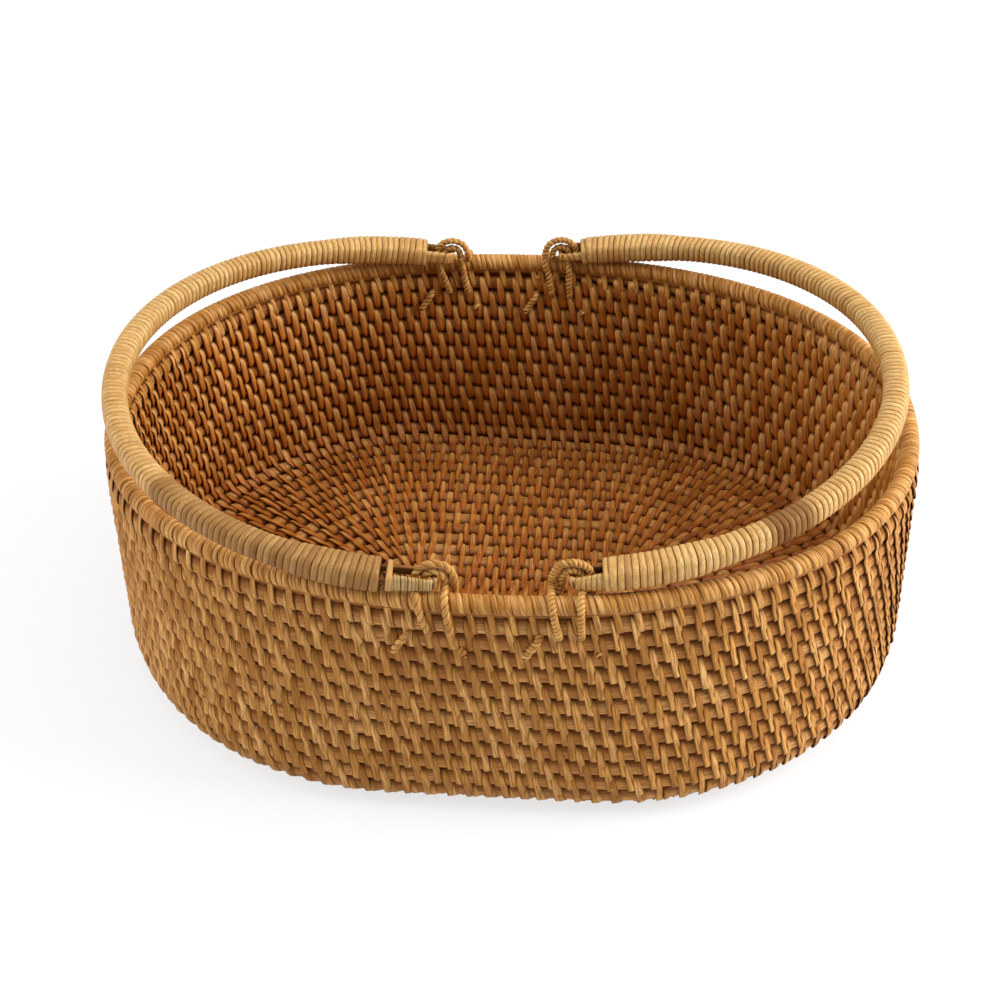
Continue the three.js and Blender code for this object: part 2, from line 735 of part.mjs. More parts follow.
// What a tie presses into the rods: its holes through the wall and its beds
// across the rim
function tieBeds(line) {
  const pressed = line.map((p) => {
    const across = Math.abs(p.y) - wallMiddle(p.x, p.z);
    if (p.z < RIM_Z - RIM_DIAMETER / 2) {
      return Math.abs(across) < ROD_HALF_DEPTH + CORD_BED_RADIUS;
    }
    return Math.hypot(across, p.z - RIM_Z) < RIM_DIAMETER / 2 + CORD_BED_RADIUS + CORD_GAP;
  });
  const runs = [];
  for (let i = 1; i < line.length; i += 1) {
    if (pressed[i] && !pressed[i - 1]) {
      runs.push([line[i - 1]]);
    }
    if (runs.length > 0 && (pressed[i] || pressed[i - 1])) {
      runs[runs.length - 1].push(line[i]);
    }
  }
  return runs.map((run) => toSolid(cord(run, CORD_BED_RADIUS)));
}

// Least distance between the surfaces of two lengths of one tie that are not
// next to each other
function leastCordGap(line) {
  const step = line[0].distanceTo(line[1]);
  const apart = Math.ceil(4 * CORD_RADIUS / step);
  let least = Infinity;
  for (let i = 0; i < line.length; i += 1) {
    for (let j = i + apart; j < line.length; j += 1) {
      least = Math.min(least, line[i].distanceTo(line[j]) - 2 * CORD_RADIUS);
    }
  }
  return least;
}

// Assembly
const CORE = { color: 0xc9a063, roughness: 0.62 };
const CORE_INSIDE = { color: 0xb07a3c, roughness: 0.6 };
const PEEL = { color: 0xcfa866, roughness: 0.5 };
const STRIP = { color: 0xb98a4a, roughness: 0.6 };
const CORD = { color: 0xc88a4c, roughness: 0.65 };

const group = new THREE.Group();
group.name = 'rattan_picnic_basket';

function add(name, geometry, finish) {
  const flat = geometry.toNonIndexed();
  flat.computeVertexNormals();
  const material = new THREE.MeshStandardMaterial({ ...finish, metalness: 0 });
  material.name = name;
  const mesh = new THREE.Mesh(flat, material);
  mesh.name = name;
  group.add(mesh);
}

const ties = [];
for (const [side, sideName] of [[-1, 'left'], [1, 'right']]) {
  for (const [end, endName] of [[-1, 'front'], [1, 'back']]) {
    ties.push({ name: `tie_${endName}_${sideName}`, line: tieLine(side, end) });
  }
}
const beds = ties.flatMap((tie) => tieBeds(tie.line));

// A rod of the upper wall with the ties' holes and beds pressed into it
function bedded(geometry) {
  const solid = beds.reduce((left, bed) => left.subtract(bed), toSolid(geometry));
  return fromSolid(solid);
}

const firstTurn = FIRST_STATION / STEPS + TURN_PHASE - 1;
const joints = [firstTurn, ...ROD_JOINTS, coilEnd()];
for (let i = 0; i + 1 < joints.length; i += 1) {
  const rod = coilRod(joints[i], joints[i + 1]);
  const isUpper = i + 2 >= joints.length - 1;
  const finish = joints[i + 1] < LEVELLING_TURNS ? CORE_INSIDE : CORE;
  add(`coil_rod_${i + 1}`, isUpper ? bedded(rod) : rod, finish);
}
add('rim_rod', bedded(rimRod()), CORE);
for (const tie of ties) {
  add(tie.name, cord(tie.line, CORD_RADIUS), CORD);
}

for (const [side, sideName] of [[-1, 'left'], [1, 'right']]) {
  add(`${sideName}_grip_rod`, gripRod(side), CORE);
  add(`${sideName}_grip_wrap`, gripWrap(side), PEEL);
  for (const end of [-1, 1]) {
    const endName = side * end > 0 ? 'back' : 'front';
    add(`${sideName}_${endName}_eye`, eye(side, end), STRIP);
    add(`${sideName}_${endName}_lashing`, lashing(side, end), PEEL);
  }
}

const rowGap = leastRowGap(firstTurn, LAST_TURN + LEVEL_SHARE);
const cordGap = Math.min(...ties.map((tie) => leastCordGap(tie.line)));
console.log(`least gap between rows ${rowGap.toFixed(2)} mm, within a tie ${cordGap.toFixed(2)} mm`);

export default group;
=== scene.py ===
"""Rattan picnic basket: an oval coiled body lashed with peel, and two tied bail handles.

Sizes inside the classes are millimetres; finished meshes are metres.
"""

import logging
import math
from collections.abc import Callable, Sequence
from dataclasses import dataclass, field
from enum import Enum
from functools import cached_property

import bpy
import numpy as np
from mathutils import Matrix, Vector


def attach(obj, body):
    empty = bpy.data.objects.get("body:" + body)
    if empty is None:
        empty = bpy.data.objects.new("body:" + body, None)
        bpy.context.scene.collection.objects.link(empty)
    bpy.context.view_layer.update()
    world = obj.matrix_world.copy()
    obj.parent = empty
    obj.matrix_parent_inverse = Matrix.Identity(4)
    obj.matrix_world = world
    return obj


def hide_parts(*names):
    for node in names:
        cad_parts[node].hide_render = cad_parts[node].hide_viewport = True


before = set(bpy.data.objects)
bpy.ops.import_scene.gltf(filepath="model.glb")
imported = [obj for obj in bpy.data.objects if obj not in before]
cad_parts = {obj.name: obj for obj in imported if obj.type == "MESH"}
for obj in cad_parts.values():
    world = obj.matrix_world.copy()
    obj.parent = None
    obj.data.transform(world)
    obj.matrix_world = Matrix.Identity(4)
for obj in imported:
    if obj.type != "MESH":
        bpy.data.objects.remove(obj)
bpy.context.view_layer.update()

log = logging.getLogger("picnic_basket")

MM = 0.001
SEED = 20
STATIONS = 24  # The oval plan is laid out in this many equal shares of a turn.
FINE = 2881  # Points on an outline that is measured along its length.
NUDGE = 0.004  # Share of a path's length to each side, over which its direction is taken.

Shaped = tuple[np.ndarray, dict[str, np.ndarray]]  # Points, and attributes by name.


class Face(Enum):
    """The two faces of the coiled wall and floor."""

    OUTSIDE = 1
    INSIDE = -1


class Side(Enum):
    """The two handles, by the end of the basket they fold down to."""

    LEFT = -1
    RIGHT = 1


class End(Enum):
    """The two long walls that the handles are tied to."""

    FRONT = -1
    BACK = 1


def linear(hex_colour: str) -> tuple[float, float, float, float]:
    """Turns an sRGB hex colour into linear RGBA.

    Args:
        hex_colour: Colour as "#rrggbb".

    Returns:
        Linear red, green, blue and an alpha of 1.
    """
    values = [int(hex_colour[i:i + 2], 16) / 255 for i in (1, 3, 5)]
    out = [v / 12.92 if v <= 0.04045 else ((v + 0.055) / 1.055) ** 2.4 for v in values]
    return (out[0], out[1], out[2], 1.0)


def add_node(
    tree: bpy.types.NodeTree, kind: str, links: dict[str | int, object] | None = None, **settings: object,
) -> bpy.types.Node:
    """Adds one shader node with its settings and incoming links.

    Args:
        tree: Node tree that gets the node.
        kind: Blender's type name of the node.
        links: Input name or index to an output socket, or to a plain value.
        **settings: Properties of the node itself.

    Returns:
        The new node.
    """
    node = tree.nodes.new(kind)
    for key, value in settings.items():
        setattr(node, key, value)
    for key, value in (links or {}).items():
        if isinstance(value, bpy.types.NodeSocket):
            tree.links.new(value, node.inputs[key])
        else:
            node.inputs[key].default_value = value
    return node


# ---- Finishes

@dataclass(frozen=True)
class CaneFinish:
    """Natural cane: split peel or whole core, with fibres running along it.

    Peel is the glossy outer skin, split and shaved; core is what is left when
    the skin is off. Both show long parallel fibres, so the eye sees streaks
    along each strip, a soft sheen, and a tone of its own on every strip.
    """

    name: str
    pale: str
    middle: str
    dark: str
    # Colour of the painted shade, mixed in where the piece's shade attribute is high: in creases, seams and
    # under overhangs.
    painted_shade: str
    roughness: float = 0.5
    ior: float = 1.5
    fibre_mm: float = 0.45
    fibre_stretch: float = 14.0
    fibre_contrast: float = 0.5
    bump_mm: float = 0.08
    blotch_mm: float = 30.0
    sheen: float = 0.4
    # Inner is a colour multiplied in as painted warm shade below: under a grip, and on the lower part of each
    # inside stitch.
    inner: str = ""
    tone_share: float = 0.62
    blotch_share: float = 0.55
    tone_offset: float = -0.13
    strip_shift: float = 37.0

    def build(self) -> bpy.types.Material:
        """Makes the node material.

        Returns:
            Material that reads the piece's UV map (millimetres across and
            along the strip), its "tone" attribute (one value per strip), its
            attribute of painted shade (1 where the strip dives under) and, for
            a finish with an inner colour, its attribute of painted warm shade below.
        """
        material = bpy.data.materials.new(self.name)
        material.use_nodes = True
        tree = material.node_tree
        tree.nodes.clear()
        uv = add_node(tree, "ShaderNodeUVMap").outputs[0]
        place = add_node(tree, "ShaderNodeTexCoord").outputs["Object"]
        tone = add_node(tree, "ShaderNodeAttribute", attribute_name="tone").outputs["Fac"]
        painted_shade = add_node(tree, "ShaderNodeAttribute", attribute_name="painted_shade").outputs["Fac"]
        shift = add_node(
            tree, "ShaderNodeMath", {0: tone, 1: self.strip_shift}, operation="MULTIPLY").outputs[0]
        across = 1.0 / self.fibre_mm
        spread = add_node(tree, "ShaderNodeMapping", {
            "Vector": uv, "Scale": (across, across / self.fibre_stretch, 1.0)}).outputs[0]
        moved = add_node(tree, "ShaderNodeVectorMath", {0: spread, 1: add_node(
            tree, "ShaderNodeCombineXYZ", {"X": shift, "Z": shift}).outputs[0]}, operation="ADD").outputs[0]
        fibre = add_node(tree, "ShaderNodeTexNoise", {
            "Vector": moved, "Scale": 1.0, "Detail": 3.0, "Roughness": 0.6}).outputs["Fac"]
        blotch = add_node(tree, "ShaderNodeTexNoise", {
            "Vector": place, "Scale": 1000.0 / self.blotch_mm, "Detail": 2.0}).outputs["Fac"]
        blend = add_node(tree, "ShaderNodeMath", {
            0: tone, 1: self.tone_share, 2: self.tone_offset}, operation="MULTIPLY_ADD").outputs[0]
        blend = add_node(tree, "ShaderNodeMath", {
            0: blotch, 1: self.blotch_share, 2: blend}, operation="MULTIPLY_ADD").outputs[0]
        ramp = add_node(tree, "ShaderNodeValToRGB", {"Fac": blend})
        ramp.color_ramp.elements[0].color = linear(self.dark)
        ramp.color_ramp.elements[0].position = 0.15
        ramp.color_ramp.elements[1].color = linear(self.pale)
        ramp.color_ramp.elements[1].position = 0.85
        ramp.color_ramp.elements.new(0.5).color = linear(self.middle)
        streak = add_node(tree, "ShaderNodeMapRange", {
            "Value": fibre, "From Min": 0.38, "From Max": 0.62,
            "To Min": self.fibre_contrast, "To Max": 0.0}).outputs[0]
        colour = add_node(tree, "ShaderNodeMix", {
            "Factor": streak, 6: ramp.outputs["Color"], 7: linear(self.dark)},
            data_type="RGBA").outputs[2]
        # Painted warm shade below, multiplied in by the inner colour.
        if self.inner:
            painted_shade_below = add_node(tree, "ShaderNodeAttribute", attribute_name="painted_shade_below").outputs["Fac"]
            colour = add_node(tree, "ShaderNodeMix", {
                "Factor": painted_shade_below, 6: colour, 7: linear(self.inner)},
                data_type="RGBA", blend_type="MULTIPLY").outputs[2]
        # Painted shade: the colour goes towards the shade colour, and the sheen drops, where the shade
        # attribute is high.
        colour = add_node(tree, "ShaderNodeMix", {
            "Factor": painted_shade, 6: colour, 7: linear(self.painted_shade)}, data_type="RGBA").outputs[2]
        sheen = add_node(tree, "ShaderNodeMapRange", {
            "Value": painted_shade, "To Min": self.sheen, "To Max": 0.03}).outputs[0]
        rough = add_node(tree, "ShaderNodeMapRange", {
            "Value": fibre, "To Min": self.roughness + 0.12, "To Max": self.roughness - 0.08}).outputs[0]
        bump = add_node(tree, "ShaderNodeBump", {
            "Height": fibre, "Strength": 0.6, "Distance": self.bump_mm * MM}).outputs[0]
        shader = add_node(tree, "ShaderNodeBsdfPrincipled", {
            "Base Color": colour, "Roughness": rough, "IOR": self.ior, "Normal": bump,
            "Specular IOR Level": sheen})
        add_node(tree, "ShaderNodeOutputMaterial", {"Surface": shader.outputs[0]})
        return material


@dataclass(frozen=True)
class Finishes:
    """Every finish of the basket."""

    # In each finish, the colour given for painted shade goes into creases, seams and overhung parts, and an
    # inner colour is painted warm shade below.
    outer_peel: CaneFinish = CaneFinish(
        "split_cane_peel_outside", pale="#e2b06c", middle="#c68e46", dark="#8c5616",
        painted_shade="#4e2004", roughness=0.5, fibre_mm=0.75, fibre_contrast=0.95, bump_mm=0.18, sheen=0.2)
    inner_peel: CaneFinish = CaneFinish(
        "split_cane_peel_inside", pale="#e6b06c", middle="#ca8a40", dark="#885214",
        painted_shade="#541f03", roughness=0.42, fibre_mm=0.75, fibre_contrast=0.75, bump_mm=0.14,
        sheen=0.26, inner="#deb484")
    core: CaneFinish = CaneFinish(
        "core_cane", pale="#dfae70", middle="#c08848", dark="#885220",
        painted_shade="#5c2808", roughness=0.6, fibre_mm=0.5, fibre_contrast=0.8, blotch_mm=18.0, sheen=0.12)
    grip: CaneFinish = CaneFinish(
        "glossy_cane_peel_handle", pale="#e0bc7a", middle="#cca05c", dark="#926026",
        painted_shade="#4a2006", roughness=0.42, fibre_mm=0.5, fibre_contrast=0.6, bump_mm=0.14, blotch_mm=45.0,
        sheen=0.3, inner="#e0a468")
    old_peel: CaneFinish = CaneFinish(
        "weathered_cane_peel", pale="#d2b07a", middle="#b6945c", dark="#7c5e32",
        painted_shade="#33200a", roughness=0.55, fibre_mm=0.4, fibre_contrast=0.6, bump_mm=0.1, sheen=0.2)
    tie: CaneFinish = CaneFinish(
        "twisted_cane_peel_tie", pale="#e6b668", middle="#c89248", dark="#8c581c",
        painted_shade="#4a1c04", roughness=0.45, fibre_mm=0.32, fibre_contrast=0.6, sheen=0.3)
    strip: CaneFinish = CaneFinish(
        "shaved_cane_eye", pale="#b5824a", middle="#855424", dark="#54300e",
        painted_shade="#2a1204", roughness=0.6, sheen=0.15)


# ---- The coil

@dataclass(frozen=True)
class CoilPlan:
    """The path of the coiled cane, with the same sizes as the solid part."""

    length: float = 360.0
    width: float = 274.0
    corner_radius: float = 17.0
    rim_ovalness: float = 2.19
    turns: float = 28.25
    turn_start: float = 0.1
    rod_across: float = 7.6
    rod_depth: float = 8.4
    height: float = 116.0
    rim_diameter: float = 8.0
    round_share: float = 5 / STATIONS
    straight_share: float = 2 / STATIONS
    ramp_share: float = 8 / STATIONS
    ramp_end_share: float = 9 / STATIONS
    first_share: float = 17 / STATIONS
    levelling_turns: float = 15.0
    taper_tip: float = 0.3
    taper_depth_share: float = 0.4
    joints: Sequence[float] = (9, 13.5, 17, 20.5, 24)
    least_reach_straight: float = -5.5
    least_reach_round: float = 0.8

    @property
    def half_straight(self) -> float:
        """Half of the straight stretch of each long wall."""
        return (self.length - self.width) / 2

    @property
    def half_depth(self) -> float:
        """Half of the coil's thickness."""
        return self.rod_depth / 2

    @property
    def wall_rho(self) -> float:
        """Distance of the wall's middle from the straight through the plan."""
        return self.width / 2 - self.half_depth

    @property
    def corner_centre(self) -> float:
        """Radius of the bend from floor to wall, at the coil's middle."""
        return self.corner_radius - self.half_depth

    @property
    def floor_rho(self) -> float:
        """Reach of the flat floor."""
        return self.wall_rho - self.corner_centre

    @property
    def corner_arc(self) -> float:
        """Length of the bend from floor to wall."""
        return self.corner_centre * math.pi / 2

    @property
    def rim_z(self) -> float:
        """Height of the rim rod's middle."""
        return self.height - self.rim_diameter / 2

    @property
    def pitch(self) -> float:
        """Distance between the middles of neighbouring rows."""
        reach = self.floor_rho + self.corner_arc + self.rim_z - self.corner_radius
        return reach / self.turns

    @property
    def phase(self) -> float:
        """Turn count at the plan's +X point, less its whole turns."""
        return 1 - self.ramp_end_share

    @property
    def level_share(self) -> float:
        """Share of each wall turn that lies level."""
        return 1 - self.ramp_share

    @property
    def last_turn(self) -> int:
        """Turn at which the row below the rim begins."""
        return round(self.turns - 1.25)

    @property
    def knots(self) -> np.ndarray:
        """Shares of a turn at which straight and round stretches meet."""
        r, s = self.round_share, self.straight_share
        return np.array([0, r, r + s, 3 * r + s, 3 * r + 2 * s, 1.0])

    def track(self, q: np.ndarray, rho: np.ndarray) -> tuple[np.ndarray, np.ndarray]:
        """Plan point and outward normal on the straight-sided oval.

        Args:
            q: Share of the way round from +X, counterclockwise.
            rho: Distance from the plan's inner straight.

        Returns:
            Points and unit normals, each with two columns.
        """
        q = np.mod(q, 1.0)
        h = self.half_straight
        angle = np.interp(q, self.knots, np.radians([0, 90, 90, 270, 270, 360]))
        middle = np.interp(q, self.knots, [h, h, -h, -h, h, h])
        normal = np.stack([np.cos(angle), np.sin(angle)], -1)
        point = normal * np.asarray(rho)[..., None]
        point[..., 0] += middle
        return point, normal

    def rim_outline(self, q: np.ndarray) -> tuple[np.ndarray, np.ndarray]:
        """Plan point and normal on the fuller oval that the rim follows.

        Args:
            q: Share of the way round from +X.

        Returns:
            Points and unit normals, each with two columns.
        """
        quarter = self.wall_rho * math.pi / 2
        side = 2 * self.half_straight
        lengths = np.cumsum([0, quarter, side, 2 * quarter, side, quarter])
        share = np.interp(np.mod(q, 1.0), self.knots, lengths / lengths[-1])
        across, up = rounded(np.linspace(0, 2 * math.pi, FINE), self.rim_ovalness)
        xs = (self.half_straight + self.wall_rho) * across
        ys = self.wall_rho * up
        run = lengths_along(xs, ys)
        run /= run[-1]

        def at(k: np.ndarray) -> np.ndarray:
            """Point of the rim at a share of its length."""
            k = np.mod(k, 1.0)
            return np.stack([np.interp(k, run, xs), np.interp(k, run, ys)], -1)

        step = unit(at(share + NUDGE) - at(share - NUDGE))
        return at(share), np.stack([step[..., 1], -step[..., 0]], -1)

    def profile(self, s: np.ndarray) -> tuple[np.ndarray, np.ndarray, np.ndarray]:
        """Floor, bend and wall by distance from the floor's middle.

        Args:
            s: Distance along the profile.

        Returns:
            Distance out, height and lean (0 on the floor, 90 degrees up the wall).
        """
        lean = np.clip((s - self.floor_rho) / self.corner_centre, 0, math.pi / 2)
        flat = np.minimum(s, self.floor_rho)
        rise = np.maximum(s - self.floor_rho - self.corner_arc, 0)
        rho = flat + self.corner_centre * np.sin(lean)
        z = self.half_depth + self.corner_centre * (1 - np.cos(lean)) + rise
        return rho, z, lean

    def reached(self, turn: np.ndarray) -> np.ndarray:
        """Distance along the profile that the coil has reached.

        Args:
            turn: Turn count from the middle of the floor.

        Returns:
            Distance along the profile.
        """
        whole = np.floor(turn + 1e-9)
        part = turn - whole
        level = np.clip(turn / self.levelling_turns, 0, 1)
        climb = ease((part - self.level_share) / (1 - self.level_share))
        even = part - self.level_share / 2
        offset = self.level_share / 2 - self.turn_start
        return self.pitch * (whole + offset + even + (climb - even) * level)

    def frame_at(self, q: np.ndarray, s: np.ndarray) -> tuple[np.ndarray, np.ndarray, np.ndarray]:
        """Middle of the coil, its outward direction and the way the row runs.

        Args:
            q: Share of the way round from +X.
            s: Distance along the profile.

        Returns:
            Points, unit outward directions and unit directions along the row.
        """
        rho, z, lean = self.profile(s)
        span = self.rim_z - self.corner_radius
        k = ease((z - self.corner_radius) / span)[..., None]
        track, across = self.track(q, rho)
        rim, rim_across = self.rim_outline(q)
        plan = track * (1 - k) + rim * k
        normal = unit(across * (1 - k) + rim_across * k)
        point = np.concatenate([plan, z[..., None]], -1)
        out = np.concatenate([normal * np.sin(lean)[..., None], -np.cos(lean)[..., None]], -1)
        ahead = np.stack([-normal[..., 1], normal[..., 0], np.zeros_like(z)], -1)
        return point, out, ahead

    def share(self, turn: np.ndarray) -> np.ndarray:
        """Share of the way round from +X at a turn count."""
        return turn - self.phase

    def place(
        self, turn: np.ndarray, up: np.ndarray, out: np.ndarray, along: np.ndarray | float = 0.0,
    ) -> np.ndarray:
        """Maps coil coordinates to the basket.

        Args:
            turn: Turn count of the row.
            up: Distance from the row's middle along the profile.
            out: Distance outward from the coil's middle surface.
            along: Distance along the row, forward as the coil winds.

        Returns:
            Points with three columns.
        """
        turn, up, out, along = np.broadcast_arrays(turn, up, out, along)
        point, outward, ahead = self.frame_at(self.share(turn), self.reached(turn) + up)
        return point + outward * out[..., None] + ahead * along[..., None]

    def on_wall(
        self, q: np.ndarray, z: np.ndarray, out: np.ndarray, along: np.ndarray | float = 0.0,
    ) -> np.ndarray:
        """Maps a place on the upright wall or the rim to the basket.

        Args:
            q: Share of the way round from +X.
            z: Height.
            out: Distance outward from the wall's middle.
            along: Distance along the wall, counterclockwise.

        Returns:
            Points with three columns.
        """
        q, z, out, along = np.broadcast_arrays(q, z, out, along)
        s = z - self.corner_radius + self.floor_rho + self.corner_arc
        point, outward, ahead = self.frame_at(q, s)
        return point + outward * out[..., None] + ahead * along[..., None]

    @property
    def first_turn(self) -> float:
        """Turn count at the coil's start."""
        return self.first_share + self.phase - 1

    def on_straight(self, turn: np.ndarray) -> np.ndarray:
        """Whether a turn count lies on a straight stretch.

        Args:
            turn: Turn count of the row.

        Returns:
            True on the two straight stretches.
        """
        q = np.mod(self.share(turn), 1.0)
        r, s = self.round_share, self.straight_share
        return ((q > r) & (q < r + s)) | ((q > 3 * r + s) & (q < 3 * r + 2 * s))

    def turning_reach(self, turn: np.ndarray) -> np.ndarray:
        """Least reach for a stitch: just over the middle line, or up to the turning point."""
        return np.where(self.on_straight(turn), self.least_reach_straight, self.least_reach_round)

    def taper(self, turn: np.ndarray) -> tuple[np.ndarray, np.ndarray]:
        """Middle and half size of the last turn where it thins below the rim.

        Args:
            turn: Turn count of the row.

        Returns:
            Reach of the rod's middle and half of its size across.
        """
        half_rod = self.rod_across / 2
        top = self.reached(np.array(float(self.last_turn))) + half_rod
        bottom = self.reached(turn - 1) + self.pitch - half_rod
        return (top + bottom) / 2, (top - bottom) / 2

    @property
    def end_turn(self) -> float:
        """Turn count at which the taper ends.

        Returns:
            Turn count of the last station where the rod is thicker than its tip.
        """
        step = 1 / STATIONS
        turn = self.last_turn + self.level_share
        while self.taper(np.array(turn + step))[1] > self.taper_tip:
            turn += step
        return turn


# ---- Modelling tools

def edit_start(obj: bpy.types.Object) -> None:
    """Selects one object alone and opens it for editing, with all of it selected.

    Args:
        obj: Mesh object to edit.
    """
    bpy.ops.object.select_all(action="DESELECT")
    bpy.context.view_layer.objects.active = obj
    obj.select_set(True)
    bpy.ops.object.mode_set(mode="EDIT")
    bpy.ops.mesh.select_all(action="SELECT")


def edit_end() -> None:
    """Goes back to object mode with nothing selected."""
    bpy.ops.object.mode_set(mode="OBJECT")
    bpy.ops.object.select_all(action="DESELECT")


def rounded(angle: np.ndarray, exponent: np.ndarray | float) -> tuple[np.ndarray, np.ndarray]:
    """Point on a rounded outline one unit in half size.

    Args:
        angle: Angle round the outline, in radians.
        exponent: 2 for a circle, more for a squarer outline.

    Returns:
        Distances across and up.
    """
    c, s = np.cos(angle), np.sin(angle)
    power = 2 / exponent
    return np.sign(c) * np.abs(c) ** power, np.sign(s) * np.abs(s) ** power


def ease(value: np.ndarray) -> np.ndarray:
    """Smooth step from 0 to 1."""
    value = np.clip(value, 0, 1)
    return value * value * (3 - 2 * value)


def unit(vectors: np.ndarray) -> np.ndarray:
    """The same directions with a length of 1."""
    return vectors / np.linalg.norm(vectors, axis=-1, keepdims=True)


def lengths_along(x: np.ndarray, y: np.ndarray) -> np.ndarray:
    """Length of a flat path up to each of its points."""
    return np.concatenate([[0], np.cumsum(np.hypot(np.diff(x), np.diff(y)))])


def set_attribute(mesh: bpy.types.Mesh, name: str, values: np.ndarray) -> None:
    """Stores one number per vertex under a name."""
    layer = mesh.attributes.get(name) or mesh.attributes.new(name, "FLOAT", "POINT")
    layer.data.foreach_set("value", np.ascontiguousarray(values, dtype=np.float32))


def swept_tube(
    name: str,
    rings: int,
    sides: int,
    shape: Callable[[np.ndarray, np.ndarray], Shaped],
    size: tuple[float, float],
) -> bpy.types.Object:
    """Rolls a grid into a closed tube along any path.

    Args:
        name: Name of the new object.
        rings: Steps along the tube.
        sides: Steps round it.
        shape: Gives points in millimetres and attributes from the share along
            and the share round, each from 0 to 1.
        size: Millimetres across (round) and along the tube, for its UV map.

    Returns:
        The finished object, closed at both ends.
    """
    bpy.ops.object.select_all(action="DESELECT")
    bpy.ops.mesh.primitive_grid_add(x_subdivisions=rings, y_subdivisions=sides, size=1.0, calc_uvs=True)
    obj = bpy.context.active_object
    obj.name = obj.data.name = name
    mesh = obj.data
    count = len(mesh.vertices)
    co = np.empty(count * 3, np.float32)
    mesh.vertices.foreach_get("co", co)
    grid = co.reshape(-1, 3)[:, :2].astype(float) + 0.5
    points, values = shape(np.clip(grid[:, 0], 0, 1), np.clip(grid[:, 1], 0, 1))
    mesh.vertices.foreach_set("co", (points * MM).astype(np.float32).ravel())
    uv = np.empty(len(mesh.loops) * 2, np.float32)
    mesh.uv_layers[0].data.foreach_get("uv", uv)
    uv = uv.reshape(-1, 2)[:, ::-1] * np.array(size, np.float32)
    mesh.uv_layers[0].data.foreach_set("uv", uv.ravel())
    values.setdefault("tone", np.full(count, 0.5))
    values.setdefault("painted_shade", np.zeros(count))
    for key, value in values.items():
        set_attribute(mesh, key, value)
    edit_start(obj)
    bpy.ops.mesh.remove_doubles(threshold=2e-6)
    bpy.ops.mesh.fill_holes(sides=sides + 1)
    bpy.ops.mesh.select_all(action="SELECT")
    bpy.ops.mesh.normals_make_consistent(inside=False)
    bpy.ops.mesh.faces_shade_smooth()
    edit_end()
    return obj


